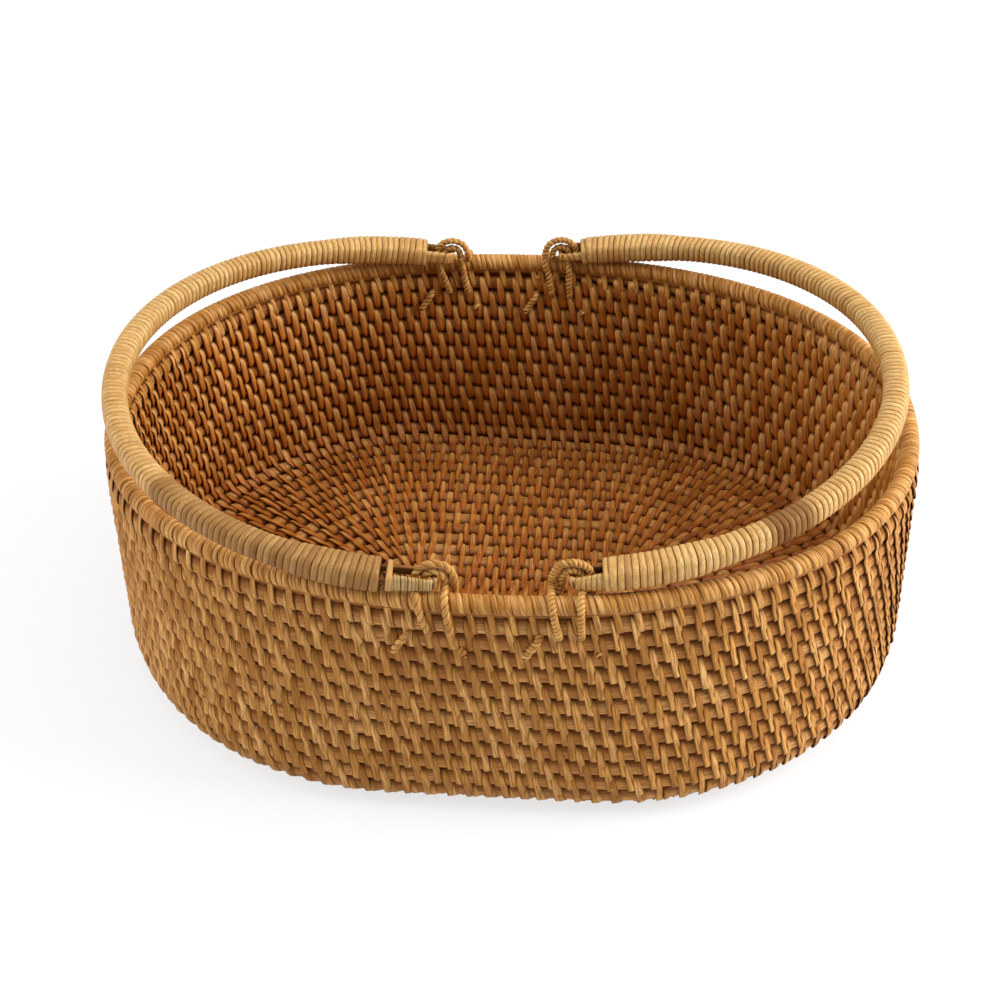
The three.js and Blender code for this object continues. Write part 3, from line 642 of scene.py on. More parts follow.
@dataclass
class StripPattern:
    """One short strip of peel, modelled once and copied for every stitch.

    The strip is one unit wide, long and thick, cut across where it will bend,
    flat below and crowned above with rounded shoulders, so that copies can be
    laid by their width (x), length (y) and thickness (z).
    """

    cuts: Sequence[float]
    section: Sequence[tuple[float, float]] = (
        (-0.5, 0.0), (-0.5, 0.45), (-0.3, 0.88), (0.0, 1.0), (0.3, 0.88), (0.5, 0.45), (0.5, 0.0))
    points: np.ndarray = field(init=False)
    loops: np.ndarray = field(init=False)
    sizes: np.ndarray = field(init=False)

    def __post_init__(self) -> None:
        """Models the bar and keeps its points and faces."""
        bpy.ops.object.select_all(action="DESELECT")
        count = len(self.section)
        bpy.ops.mesh.primitive_cylinder_add(
            vertices=count, radius=0.5, depth=1.0, location=(0, 0.5, 0), rotation=(math.pi / 2, 0, 0))
        obj = bpy.context.active_object
        bpy.ops.object.transform_apply(location=True, rotation=True, scale=True)
        ring = sorted(
            (v for v in obj.data.vertices if v.co.y < 0.5), key=lambda v: math.atan2(v.co.z, v.co.x))
        bearing = [math.atan2(v.co.z, v.co.x) for v in ring]
        wanted = sorted(self.section, key=lambda p: math.atan2(p[1] - 0.4, p[0]))
        for vertex in obj.data.vertices:
            angle = math.atan2(vertex.co.z, vertex.co.x)
            nearest = min(range(count), key=lambda i: abs(bearing[i] - angle))
            vertex.co.x, vertex.co.z = wanted[nearest]
        edit_start(obj)
        for cut in list(self.cuts)[1:-1]:
            bpy.ops.mesh.select_all(action="SELECT")
            bpy.ops.mesh.bisect(plane_co=(0, cut, 0), plane_no=(0, 1, 0))
        bpy.ops.mesh.select_all(action="SELECT")
        bpy.ops.mesh.normals_make_consistent(inside=False)
        edit_end()
        mesh = obj.data
        self.points = np.array([v.co[:] for v in mesh.vertices])
        self.sizes = np.array([len(p.vertices) for p in mesh.polygons])
        self.loops = np.concatenate([list(p.vertices) for p in mesh.polygons])
        bpy.data.objects.remove(obj, do_unlink=True)
        bpy.data.meshes.remove(mesh)

    def lay(
        self,
        name: str,
        placed: np.ndarray,
        values: dict[str, np.ndarray],
        size: tuple[np.ndarray, float],
    ) -> bpy.types.Object:
        """Makes one piece from many copies.

        Args:
            name: Name of the new object.
            placed: Points of every copy, in millimetres: copies, points, 3.
            values: Attributes, one number per copy and point.
            size: Millimetres of width per copy, and of length, for the UV map.

        Returns:
            The finished object.
        """
        copies, count, _ = placed.shape
        mesh = bpy.data.meshes.new(name)
        corners = (self.loops[None] + (np.arange(copies) * count)[:, None]).ravel()
        sizes = np.tile(self.sizes, copies)
        mesh.vertices.add(copies * count)
        mesh.vertices.foreach_set("co", (placed * MM).astype(np.float32).ravel())
        mesh.loops.add(len(corners))
        mesh.loops.foreach_set("vertex_index", corners.astype(np.int32))
        mesh.polygons.add(len(sizes))
        mesh.polygons.foreach_set("loop_start", np.concatenate([[0], np.cumsum(sizes)[:-1]]).astype(np.int32))
        mesh.update(calc_edges=True)
        for key, value in values.items():
            set_attribute(mesh, key, np.broadcast_to(value, (copies, count)).ravel())
        layer = mesh.uv_layers.new(name="UVMap")
        u = self.points[None, :, 0] * np.broadcast_to(size[0], (copies,))[:, None]
        v = np.broadcast_to(self.points[None, :, 1] * size[1], (copies, count))
        uv = np.stack([u, v], -1).reshape(-1, 2)[corners]
        layer.data.foreach_set("uv", uv.astype(np.float32).ravel())
        obj = bpy.data.objects.new(name, mesh)
        bpy.context.scene.collection.objects.link(obj)
        edit_start(obj)
        bpy.ops.mesh.normals_make_consistent(inside=False)
        bpy.ops.mesh.faces_shade_smooth()
        edit_end()
        return obj


def dress(obj: bpy.types.Object, material: bpy.types.Material, body: str) -> None:
    """Gives a piece its material and the body it rides on.

    Args:
        obj: The piece.
        material: Material that covers all of it.
        body: Body that carries the piece.
    """
    obj.data.materials.clear()
    obj.data.materials.append(material)
    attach(obj, body)


# ---- Sub-assemblies

@dataclass
class CoiledCore:
    """The cane rods that wind from the middle of the floor to the rim."""

    plan: CoilPlan
    finishes: Finishes
    section: Sequence[tuple[float, float]] = (
        (-0.52, 1.7), (-0.47, 3.2), (-0.38, 3.98), (-0.20, 4.1), (0.02, 3.82), (0.22, 3.25), (0.40, 2.4),
        (0.52, 1.2), (0.52, -1.3), (0.45, -2.5), (0.34, -3.4), (0.17, -4.05), (-0.03, -4.15),
        (-0.22, -3.8), (-0.38, -3.0), (-0.50, -1.6), (-0.52, 1.7))
    girth: float = 26.0
    rings_per_turn: int = 96
    sides: int = 16
    rim_sides: int = 12
    rim_half: float = 3.4
    rim_drop: float = 3.4
    rim_girth: float = 24.0
    rim_length: float = 1000.0
    rim_closing: float = 0.9997
    curl_turns: float = 0.25
    rim_joint_share: float = 14 / STATIONS

    def build(self) -> None:
        """Makes the six coil rods and the rim rod."""
        material = self.finishes.core.build()
        ends = [self.plan.first_turn - self.curl_turns, *self.plan.joints, self.plan.end_turn]
        for i, (start, stop) in enumerate(zip(ends[:-1], ends[1:])):
            obj = self.rod(f"core_rod_{i + 1}", start, stop)
            dress(obj, material, "basket")
            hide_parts(f"coil_rod_{i + 1}")
            log.info("%s: turns %.2f to %.2f", obj.name, start, stop)
        rim = self.rim()
        dress(rim, material, "basket")
        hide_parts("rim_rod")
        log.info("%s: made", rim.name)

    def rod(self, name: str, start: float, stop: float) -> bpy.types.Object:
        """One rod of the coil.

        Args:
            name: Name of the piece.
            start: Turn count at its start.
            stop: Turn count at its end.

        Returns:
            The rod.
        """
        plan = self.plan
        across, deep = np.array(self.section).T
        stations = np.linspace(0, 1, len(across))

        def shape(k: np.ndarray, j: np.ndarray) -> Shaped:
            """The rod's section at each turn, thinned where the coil tapers.

            Args:
                k: Share along the rod.
                j: Share round it.

            Returns:
                Points and attributes, with painted shade darkest where a stitch shades the rod.
            """
            turn = start + (stop - start) * k
            a, out = np.interp(j, stations, across), np.interp(j, stations, deep)
            thin = turn > plan.last_turn + plan.level_share
            middle, half = plan.taper(turn)
            scale = np.where(thin, half / (plan.rod_across / 2), 1.0)
            shift = np.where(thin, middle - plan.reached(turn), 0.0)
            depth = np.where(thin, plan.taper_depth_share + (1 - plan.taper_depth_share) * scale, 1.0)
            points = plan.place(turn, a * plan.pitch * scale + shift, out * depth)
            # Painted shadow: outside, the rod is darkened from its middle up, where the row above and its
            # stitches overhang it, and in the seam.
            overhang_shadow = np.clip((a + 0.03) / 0.34, 0, 1) + np.clip((-a - 0.43) / 0.08, 0, 1)
            # Painted shade: inside, it is darkened in both seams, and a little all over where it stands
            # upright, where less light falls than on the floor.
            wall = ease((plan.reached(turn) - plan.floor_rho) / plan.corner_arc)
            inside_shade = np.clip((a - 0.38) / 0.1, 0, 1) + np.clip((-a - 0.25) / 0.2, 0, 1) + 0.4 * wall
            # Gap holds the painted shade of both faces, a little weaker outside.
            gap = np.where(out > 0, 0.83 * np.clip(overhang_shadow, 0, 1), np.clip(inside_shade, 0, 1))
            tone = 0.5 + 0.22 * np.sin(turn * 5.1) + 0.15 * np.sin(turn * 23.0)
            return points, {"painted_shade": gap, "tone": tone}

        rings = max(12, round((stop - start) * self.rings_per_turn))
        length = 2 * math.pi * plan.wall_rho * (stop - start)
        return swept_tube(name, rings, self.sides, shape, (self.girth, length))

    def rim(self) -> bpy.types.Object:
        """The rod that finishes the rim.

        Returns:
            The rod, closed but for a hair at its joint.
        """
        plan = self.plan

        def shape(k: np.ndarray, j: np.ndarray) -> Shaped:
            """A round section that reaches down to the row below.

            Args:
                k: Share along the rim.
                j: Share round it.

            Returns:
                Points and attributes, with painted shade below.
            """
            q = self.rim_joint_share + k * self.rim_closing
            angle = 2 * math.pi * j
            below = self.rim_drop * np.clip(-np.sin(angle), 0, 1)
            points = plan.on_wall(
                q, plan.rim_z + self.rim_half * np.sin(angle) - below, self.rim_half * np.cos(angle))
            return points, {"painted_shade": np.clip(-np.sin(angle) * 2 - 0.6, 0, 1)}

        return swept_tube(
            "core_rim_rod", 4 * self.rings_per_turn, self.rim_sides, shape, (self.rim_girth, self.rim_length))


@dataclass(frozen=True)
class StitchShape:
    """How one stitch runs over its two rows, on one face of the coil.

    Each row of knots gives the share of the stitch's length, the place across
    the rows in row pitches, the height of its underside over the coil's
    middle, and its share of the full width.
    """

    width: float
    thickness: float
    lean: float
    tilt: float
    # How far painted shade reaches in from the stitch's start and its end, in shares of its length, and how
    # much painted shade lies along its sides.
    dark_start: float
    dark_end: float
    edge_shade: float
    tone: tuple[float, float]
    knots: Sequence[tuple[float, float, float, float]]


@dataclass
class Lashing:
    """The peel that lashes each row of the coil to the row below it."""

    plan: CoilPlan
    finishes: Finishes
    centre_pitch: float = 7.0
    edge_pitch: float = 7.6
    wall_pitch: float = 8.45
    drift: float = 0.44
    first_run: float = 0.5
    first_turns: float = 1.05
    owed_limits: tuple[float, float] = (0.4, 0.8)
    pair_shares: tuple[float, float] = (0.3, 0.8)
    evening: float = 0.3
    evened_runs: int = 7
    width_spread: tuple[float, float] = (0.84, 1.14)
    lean_spread: float = 0.35
    shift_spread: float = 0.25
    lift_spread: tuple[float, float] = (-0.1, 0.12)
    tilt_spread: tuple[float, float] = (0.6, 1.3)
    strip_length: float = 17.0
    outside: StitchShape = StitchShape(
        width=3.55, thickness=0.7, lean=3.3, tilt=1.0, dark_start=0.24, dark_end=0.06, edge_shade=0.62,
        tone=(0.2, 0.95), knots=(
            (0.0, 0.48, 1.6, 0.55), (0.1, 0.30, 3.0, 0.66), (0.2, 0.10, 3.75, 0.76),
            (0.31, -0.14, 4.1, 0.85), (0.42, -0.36, 4.0, 0.92), (0.53, -0.58, 3.5, 0.97),
            (0.66, -0.84, 3.65, 1.02), (0.79, -1.10, 4.2, 1.08), (0.89, -1.30, 4.35, 1.1),
            (0.95, -1.42, 4.05, 0.98), (0.985, -1.49, 3.4, 0.74), (1.0, -1.53, 2.7, 0.42)))
    inside: StitchShape = StitchShape(
        width=3.45, thickness=0.85, lean=-2.6, tilt=-1.1, dark_start=0.07, dark_end=0.16, edge_shade=0.3,
        tone=(0.4, 0.9), knots=(
            (0.0, 0.50, 1.6, 0.6), (0.07, 0.38, 3.1, 0.74), (0.16, 0.22, 4.0, 0.86),
            (0.27, -0.02, 4.3, 0.96), (0.40, -0.30, 4.15, 1.02), (0.53, -0.56, 3.95, 1.02),
            (0.66, -0.82, 4.1, 1.02), (0.79, -1.08, 4.15, 1.02), (0.89, -1.28, 3.8, 0.95),
            (0.95, -1.40, 3.2, 0.82), (0.985, -1.46, 2.6, 0.62), (1.0, -1.49, 2.1, 0.4)))

    def pitch(self, turn: np.ndarray) -> np.ndarray:
        """Distance from stitch to stitch, which is shorter on the floor.

        Args:
            turn: Turn count of the row.

        Returns:
            Distance along the row.
        """
        reach = self.plan.reached(turn)
        edge = self.plan.floor_rho
        pitches = [self.centre_pitch, self.edge_pitch, self.wall_pitch]
        return np.interp(reach, [0.0, edge, edge + self.plan.corner_arc], pitches)

    @cached_property
    def turns(self) -> np.ndarray:
        """Turn counts of all stitches.

        Every stitch lies between two of the row below. Where a row has grown
        longer one is put in, and where they crowd one is left out, so that the
        stitches are staggered all round the basket.

        Returns:
            Turn counts in the order in which the coil winds.
        """
        plan = self.plan
        rng = np.random.default_rng(SEED + 2)
        table = np.arange(plan.first_turn, plan.end_turn + 2, 1 / 480)
        rho = plan.profile(plan.reached(table))[0]
        rate = np.where(
            plan.on_straight(table), 2 * plan.half_straight / plan.straight_share,
            math.pi / 2 * rho / plan.round_share)
        length = np.concatenate([[0], np.cumsum((rate[1:] + rate[:-1]) / 2 * np.diff(table))])
        pitches = self.pitch(table)
        wall_turn = float(np.interp(plan.floor_rho + plan.corner_arc, plan.reached(table), table))
        first_round = np.interp(plan.first_turn + self.first_turns, table, length)
        runs = list(np.arange(self.first_run, first_round, self.centre_pitch))
        last, owed, i = float(np.interp(plan.end_turn, table, length)), 0.0, 0
        while runs[-1] < last:
            ends = np.interp(runs[i:i + 2], length, table) + 1
            low, high = np.interp(ends, table, length)
            i += 1
            if ends[0] < wall_turn:
                owed += (high - low) / float(np.interp(low, length, pitches)) - 1
            limit = rng.uniform(*self.owed_limits)
            if owed < -limit:
                owed += 1
                continue
            shares = self.pair_shares if owed > limit else (1 - self.drift,)
            owed -= len(shares) - 1
            runs.extend(low + share * (high - low) for share in shares)
            for j in range(len(runs) - self.evened_runs, len(runs) - 1):
                runs[j] += self.evening * (runs[j - 1] + runs[j + 1] - 2 * runs[j])
        turns = np.interp(runs, length, table)
        return turns[turns < plan.end_turn]

    def build(self) -> None:
        """Makes the stitches of both faces, one piece per rod of the coil."""
        rng = np.random.default_rng(SEED)
        turns = self.turns
        ends = [0.0, *self.plan.joints, math.inf]
        faces = (
            (Face.OUTSIDE, self.outside, self.finishes.outer_peel.build()),
            (Face.INSIDE, self.inside, self.finishes.inner_peel.build()),
        )
        for face, stitch, material in faces:
            pattern = StripPattern([knot[0] for knot in stitch.knots])
            for i, (start, stop) in enumerate(zip(ends[:-1], ends[1:])):
                chosen = turns[(turns >= start) & (turns < stop)]
                name = f"lashing_{face.name.lower()}_{i + 1}"
                obj = self.stitches(name, pattern, chosen, face, stitch, rng)
                dress(obj, material, "basket")
                log.info("%s: %d stitches", name, len(chosen))

    def stitches(
        self, name: str, pattern: StripPattern, turns: np.ndarray, face: Face, stitch: StitchShape,
        rng: np.random.Generator,
    ) -> bpy.types.Object:
        """Lays a strip over two rows for each turn count given.

        Args:
            name: Name of the piece.
            pattern: The strip to copy.
            turns: Turn count of each stitch.
            face: The face of the coil that the strips show on.
            stitch: How the strips run.
            rng: Source of the small differences between stitches.

        Returns:
            The piece with all its stitches.
        """
        plan = self.plan
        n = len(turns)
        x, y, z = pattern.points.T
        stations, rows, heights, shares = np.array(stitch.knots).T
        reach = plan.reached(turns)
        on_wall = ease((reach - plan.floor_rho + 4) / plan.corner_arc)
        up = np.broadcast_to(np.interp(y, stations, rows) * plan.pitch, (n, len(y)))
        thin = turns > plan.last_turn + plan.level_share
        middle, half = plan.taper(turns)
        top = middle + half * 1.05 - reach
        seam = -plan.pitch / 2
        squashed = seam + (up - seam) / (0.98 * plan.pitch) * (top[:, None] - seam)
        up = np.where(thin[:, None] & (up > seam), squashed, up)
        nearest = plan.turning_reach(turns)
        up = np.maximum(up, (nearest - reach)[:, None])
        height = np.interp(y, stations, heights)
        scale = self.pitch(turns) / self.wall_pitch
        widths = stitch.width * rng.uniform(*self.width_spread, n) * scale
        lean = stitch.lean * on_wall + rng.normal(0, self.lean_spread, n)
        along = lean[:, None] * y + rng.normal(0, self.shift_spread, n)[:, None]
        along = along + x * widths[:, None] * np.interp(y, stations, shares)
        lift = rng.uniform(*self.lift_spread, n)[:, None]
        tilt = stitch.tilt * rng.uniform(*self.tilt_spread, n)[:, None]
        out = (height + z * stitch.thickness + lift * np.sin(np.pi * y) - tilt * x) * face.value
        placed = plan.place(turns[:, None], up, out, along)
        placed[..., 2] = np.maximum(placed[..., 2], 0.0)
        # Painted shade: a strip is darkened where its two ends dive in, along its sides, and below.
        dive = np.clip(1 - y / stitch.dark_start, 0, 1) ** 1.3
        dive = dive + np.clip((y - 1) / stitch.dark_end + 1, 0, 1) * 0.8
        edge = np.where(z < 0.2, 0.9, np.clip(np.abs(x) / 0.2 - 1.5, 0, 1) * stitch.edge_shade)
        values = {
            "tone": rng.uniform(*stitch.tone, n)[:, None] + 0 * y,
            "painted_shade": np.broadcast_to(np.maximum(np.clip(dive, 0, 1), edge), (n, len(y))),
            # Painted warm shade on the lower part of each strip, which the inside peel takes.
            "painted_shade_below": np.broadcast_to(ease((y - 0.15) / 0.6), (n, len(y))),
        }
        return pattern.lay(name, placed, values, (widths, self.strip_length))


@dataclass
class RimBinding:
    """The peel wound over the rim: one long stitch, then two short wraps."""

    plan: CoilPlan
    finishes: Finishes
    lashing: Lashing
    thickness: float = 0.75
    long_width: float = 2.9
    short_width: float = 3.1
    lean: float = 8.2
    short_lean: float = 6.0
    short_phases: tuple[float, float] = (0.345, 0.665)
    radius: float = 3.42
    width_spread: tuple[float, float] = (0.9, 1.1)
    shift_spread: float = 0.12
    tones: tuple[float, float] = (0.35, 0.95)

    def build(self) -> None:
        """Makes the long stitches and the short wraps."""
        rng = np.random.default_rng(SEED + 1)
        material = self.finishes.outer_peel.build()
        plan = self.plan
        below = plan.rim_z - plan.rim_diameter / 2
        row = below - 0.3 - plan.rod_across / 2
        seam = row - plan.pitch / 2
        r = self.radius
        arc = np.radians(np.linspace(-50, 90, 6))
        # The outer half of a long strip, from the seam below the first row up to the rim's top.
        face_z = [seam - 0.2, seam + 0.4, row - 2.4, row - 0.6, row + 2.4, *(plan.rim_z + r * np.sin(arc))]
        face_w = [2.0, 3.3, 4.05, 4.1, 3.4, *(r * np.cos(arc))]
        long_z = np.array(face_z + face_z[-2::-1])
        long_w = np.array(face_w + [-w for w in face_w[-2::-1]])
        self.lay("rim_long_stitches", long_z, long_w, 0.0, self.long_width, self.lean, material, rng)
        loop = np.radians(np.linspace(-82, 262, 13))
        for i, phase in enumerate(self.short_phases):
            self.lay(f"rim_short_wraps_{i + 1}", plan.rim_z + r * np.sin(loop), r * np.cos(loop),
                     phase, self.short_width, self.short_lean, material, rng)

    def lay(
        self, name: str, z: np.ndarray, out: np.ndarray, phase: float, width: float, lean: float,
        material: bpy.types.Material, rng: np.random.Generator,
    ) -> None:
        """Lays one strip per pitch along a path over the rim.

        Args:
            name: Name of the piece.
            z: Heights along the strip, from its outer end.
            out: Distances outward from the wall's middle.
            phase: Share of a pitch by which the strips are moved on.
            width: Width of a strip.
            lean: How far a strip moves forward from its top to its outer end.
            material: Material of the strips.
            rng: Source of the small differences between strips.
        """
        plan = self.plan
        run = lengths_along(z, out)
        stations = run / run[-1]
        pattern = StripPattern(stations)
        px, py, pz = pattern.points.T
        turns = self.lashing.turns
        turns = turns[turns > plan.end_turn - 1]
        n = len(turns)
        q = plan.share(turns + phase * np.diff(turns, append=turns[0] + 1))
        # The side of the path that the strip's thickness goes to is the one away from the rod.
        dz, dw = np.gradient(z, run), np.gradient(out, run)
        size = np.hypot(dz, dw)
        side_z, side_w = dw / size, -dz / size
        near_top = len(run) // 2 - 2
        flip = np.sign(side_w[near_top] * out[near_top] + side_z[near_top])
        lift = flip * pz * self.thickness
        zs = np.interp(py, stations, z) + np.interp(py, stations, side_z) * lift
        ws = np.interp(py, stations, out) + np.interp(py, stations, side_w) * lift
        widths = width * rng.uniform(*self.width_spread, n)
        slant = lean * (0.5 - py)
        along = slant[None] + px[None] * widths[:, None] + rng.normal(0, self.shift_spread, n)[:, None]
        placed = plan.on_wall(q[:, None], zs[None], ws[None], along)
        # Painted shade where a strip dives in at its ends, along its sides, and below.
        dive = np.clip((np.abs(py - 0.5) * 2 - 0.9) / 0.1, 0, 1)
        edge = np.where(pz < 0.2, 1.0, np.clip(np.abs(px) / 0.2 - 1.5, 0, 1) * 0.6)
        values = {
            "tone": rng.uniform(*self.tones, n)[:, None] + 0 * py,
            "painted_shade": np.broadcast_to(np.maximum(dive, edge), (n, len(py))),
        }
        obj = pattern.lay(name, placed, values, (widths, float(run[-1])))
        dress(obj, material, "basket")
        log.info("%s: %d strips", name, n)


@dataclass
class BailPlan:
    """The flat outline that both handles share, and how a handle sits."""

    coil: CoilPlan
    end_inset: float = 9.3
    side_inset: float = 10.4
    straight_x: float = 41.0
    oval_exponent: float = 2.03
    turn_degrees: float = 4.5
    offset_x: float = -2.0
    tilt_degrees: float = 6.7
    seat_clearance: float = 0.3
    hinge_x: float = 27.0
    grip_radius: float = 5.6
    end_half_width: float = 6.9
    end_half_height: float = 5.9
    middle_exponent: float = 2.7
    end_exponent: float = 3.1
    wrap_start_x: float = 44.5
    thick_length: float = 24.0
    thick_ease: float = 26.0
    xs: np.ndarray = field(init=False, repr=False)
    ys: np.ndarray = field(init=False, repr=False)
    run: np.ndarray = field(init=False, repr=False)

    def __post_init__(self) -> None:
        """Measures the outline from the front straight to the back one."""
        reach = self.coil.length / 2 - self.end_inset - self.straight_x
        across, up = rounded(np.linspace(-math.pi / 2, math.pi / 2, FINE), self.oval_exponent)
        self.xs = reach * across + self.straight_x
        self.ys = self.half_width * up
        self.run = lengths_along(self.xs, self.ys)

    @property
    def half_width(self) -> float:
        """Distance from the basket's middle to a handle's straight ends."""
        return self.coil.width / 2 - self.side_inset

    @property
    def total(self) -> float:
        """Length of the curved outline."""
        return float(self.run[-1])

    @property
    def hinge_z(self) -> float:
        """Height of the hinge line.

        Returns:
            Height at which a handle seats on the rim with its tilt.
        """
        tilt = math.radians(self.tilt_degrees)
        seat = self.coil.height + self.seat_clearance + self.end_half_height * math.cos(tilt)
        return seat - (self.wrap_start_x - self.hinge_x) * math.sin(tilt)

    def path(self, length: np.ndarray) -> tuple[np.ndarray, np.ndarray, np.ndarray, np.ndarray]:
        """Centre line and outward normal by length from the front straight's end.

        Args:
            length: Length along the handle; below 0 it runs towards the hinge.

        Returns:
            X, Y and the normal's X and Y on the flat drawing.
        """
        length = np.asarray(length, float)

        def at(v: np.ndarray) -> tuple[np.ndarray, np.ndarray]:
            """Point of the centre line, straight on beyond both of its ends."""
            beyond = np.minimum(v, 0) - np.maximum(v - self.total, 0)
            return np.interp(v, self.run, self.xs) + beyond, np.interp(v, self.run, self.ys)

        x, y = at(length)
        x0, y0 = at(length - 0.8)
        x1, y1 = at(length + 0.8)
        size = np.hypot(x1 - x0, y1 - y0)
        return x, y, (y1 - y0) / size, -(x1 - x0) / size

    def length_at(self, x: np.ndarray | float) -> np.ndarray:
        """Length at which the front half of the outline reaches X.

        Args:
            x: Distance from the basket's middle.

        Returns:
            Length from the front straight's end, below 0 on the straight.
        """
        x = np.asarray(x, float)
        half = len(self.xs) // 2
        curved = np.interp(x, self.xs[:half], self.run[:half])
        return np.where(x <= self.straight_x, x - self.straight_x, curved)

    def place(self, x: np.ndarray, y: np.ndarray, z: np.ndarray, side: Side) -> np.ndarray:
        """Maps the flat drawing of a handle to the basket.

        Args:
            x: Distance from the basket's middle along the reach.
            y: Distance along the hinge line.
            z: Distance square to the handle's plane.
            side: Which handle.

        Returns:
            Points with three columns.
        """
        tilt = math.radians(self.tilt_degrees)
        a = x - self.hinge_x
        reach = self.hinge_x + a * math.cos(tilt) - z * math.sin(tilt)
        rise = a * math.sin(tilt) + z * math.cos(tilt)
        return self.turned(side.value * reach, side.value * y, self.hinge_z + rise)

    def turned(self, x: np.ndarray, y: np.ndarray, z: np.ndarray) -> np.ndarray:
        """Turns a point of the handles' plan onto the basket.

        Args:
            x: Distance along the handles' own length.
            y: Distance along the hinge line.
            z: Height.

        Returns:
            Points with three columns.
        """
        turn = math.radians(self.turn_degrees)
        c, s = math.cos(turn), math.sin(turn)
        x, y, z = np.broadcast_arrays(np.asarray(x, float), y, z)
        return np.stack([self.offset_x + x * c - y * s, x * s + y * c, z], -1)

    def around(
        self, length: np.ndarray, angle: np.ndarray, across: np.ndarray, up: np.ndarray,
        exponent: np.ndarray | float, side: Side,
    ) -> np.ndarray:
        """Point on a rounded section round the handle.

        Args:
            length: Length along the handle.
            angle: Angle round the section.
            across: Half of the section's width.
            up: Half of the section's height.
            exponent: How square the section is.
            side: Which handle.

        Returns:
            Points with three columns.
        """
        x, y, nx, ny = self.path(length)
        c, s = rounded(angle, exponent)
        return self.place(x + nx * c * across, y + ny * c * across, s * up, side)

    def thickening(self, length: np.ndarray) -> np.ndarray:
        """How far the grip has thickened.

        Args:
            length: Length along the handle.

        Returns:
            1 at the grip's ends and 0 in its middle.
        """
        start = float(self.length_at(self.wrap_start_x))
        from_end = np.minimum(length, self.total - length) - start
        return 1 - ease((from_end - self.thick_length) / self.thick_ease)

    def on_grip(self, length: np.ndarray, angle: np.ndarray, lift: np.ndarray, side: Side) -> np.ndarray:
        """Point at a height over the grip's nominal surface.

        Args:
            length: Length along the handle.
            angle: Angle round the grip.
            lift: Height over the surface.
            side: Which handle.

        Returns:
            Points with three columns.
        """
        k = self.thickening(length)
        across = self.grip_radius + (self.end_half_width - self.grip_radius) * k + lift
        up = self.grip_radius + (self.end_half_height - self.grip_radius) * k + lift
        exponent = self.middle_exponent + (self.end_exponent - self.middle_exponent) * k
        return self.around(length, angle, across, up, exponent, side)

    def beside(self, x: np.ndarray, offset: np.ndarray, end: int) -> tuple[np.ndarray, np.ndarray]:
        """Place beside the centre line near one end; end is -1 for drawing -Y."""
        px, py, nx, ny = self.path(self.length_at(x))
        return px + nx * offset, (py + ny * offset) * -end


@dataclass(frozen=True)
class DarkStretch:
    """A darkened stretch of a winding, by the length along it."""

    start: float
    stop: float
    depth: float
    fade: float = 8.0
    seam_gain: float = 1.15

    def inside(self, along: np.ndarray) -> np.ndarray:
        """Share of the stretch at a length: 1 within it, 0 beyond its soft ends."""
        return ease((along - self.start) / self.fade) * ease((self.stop - along) / self.fade)


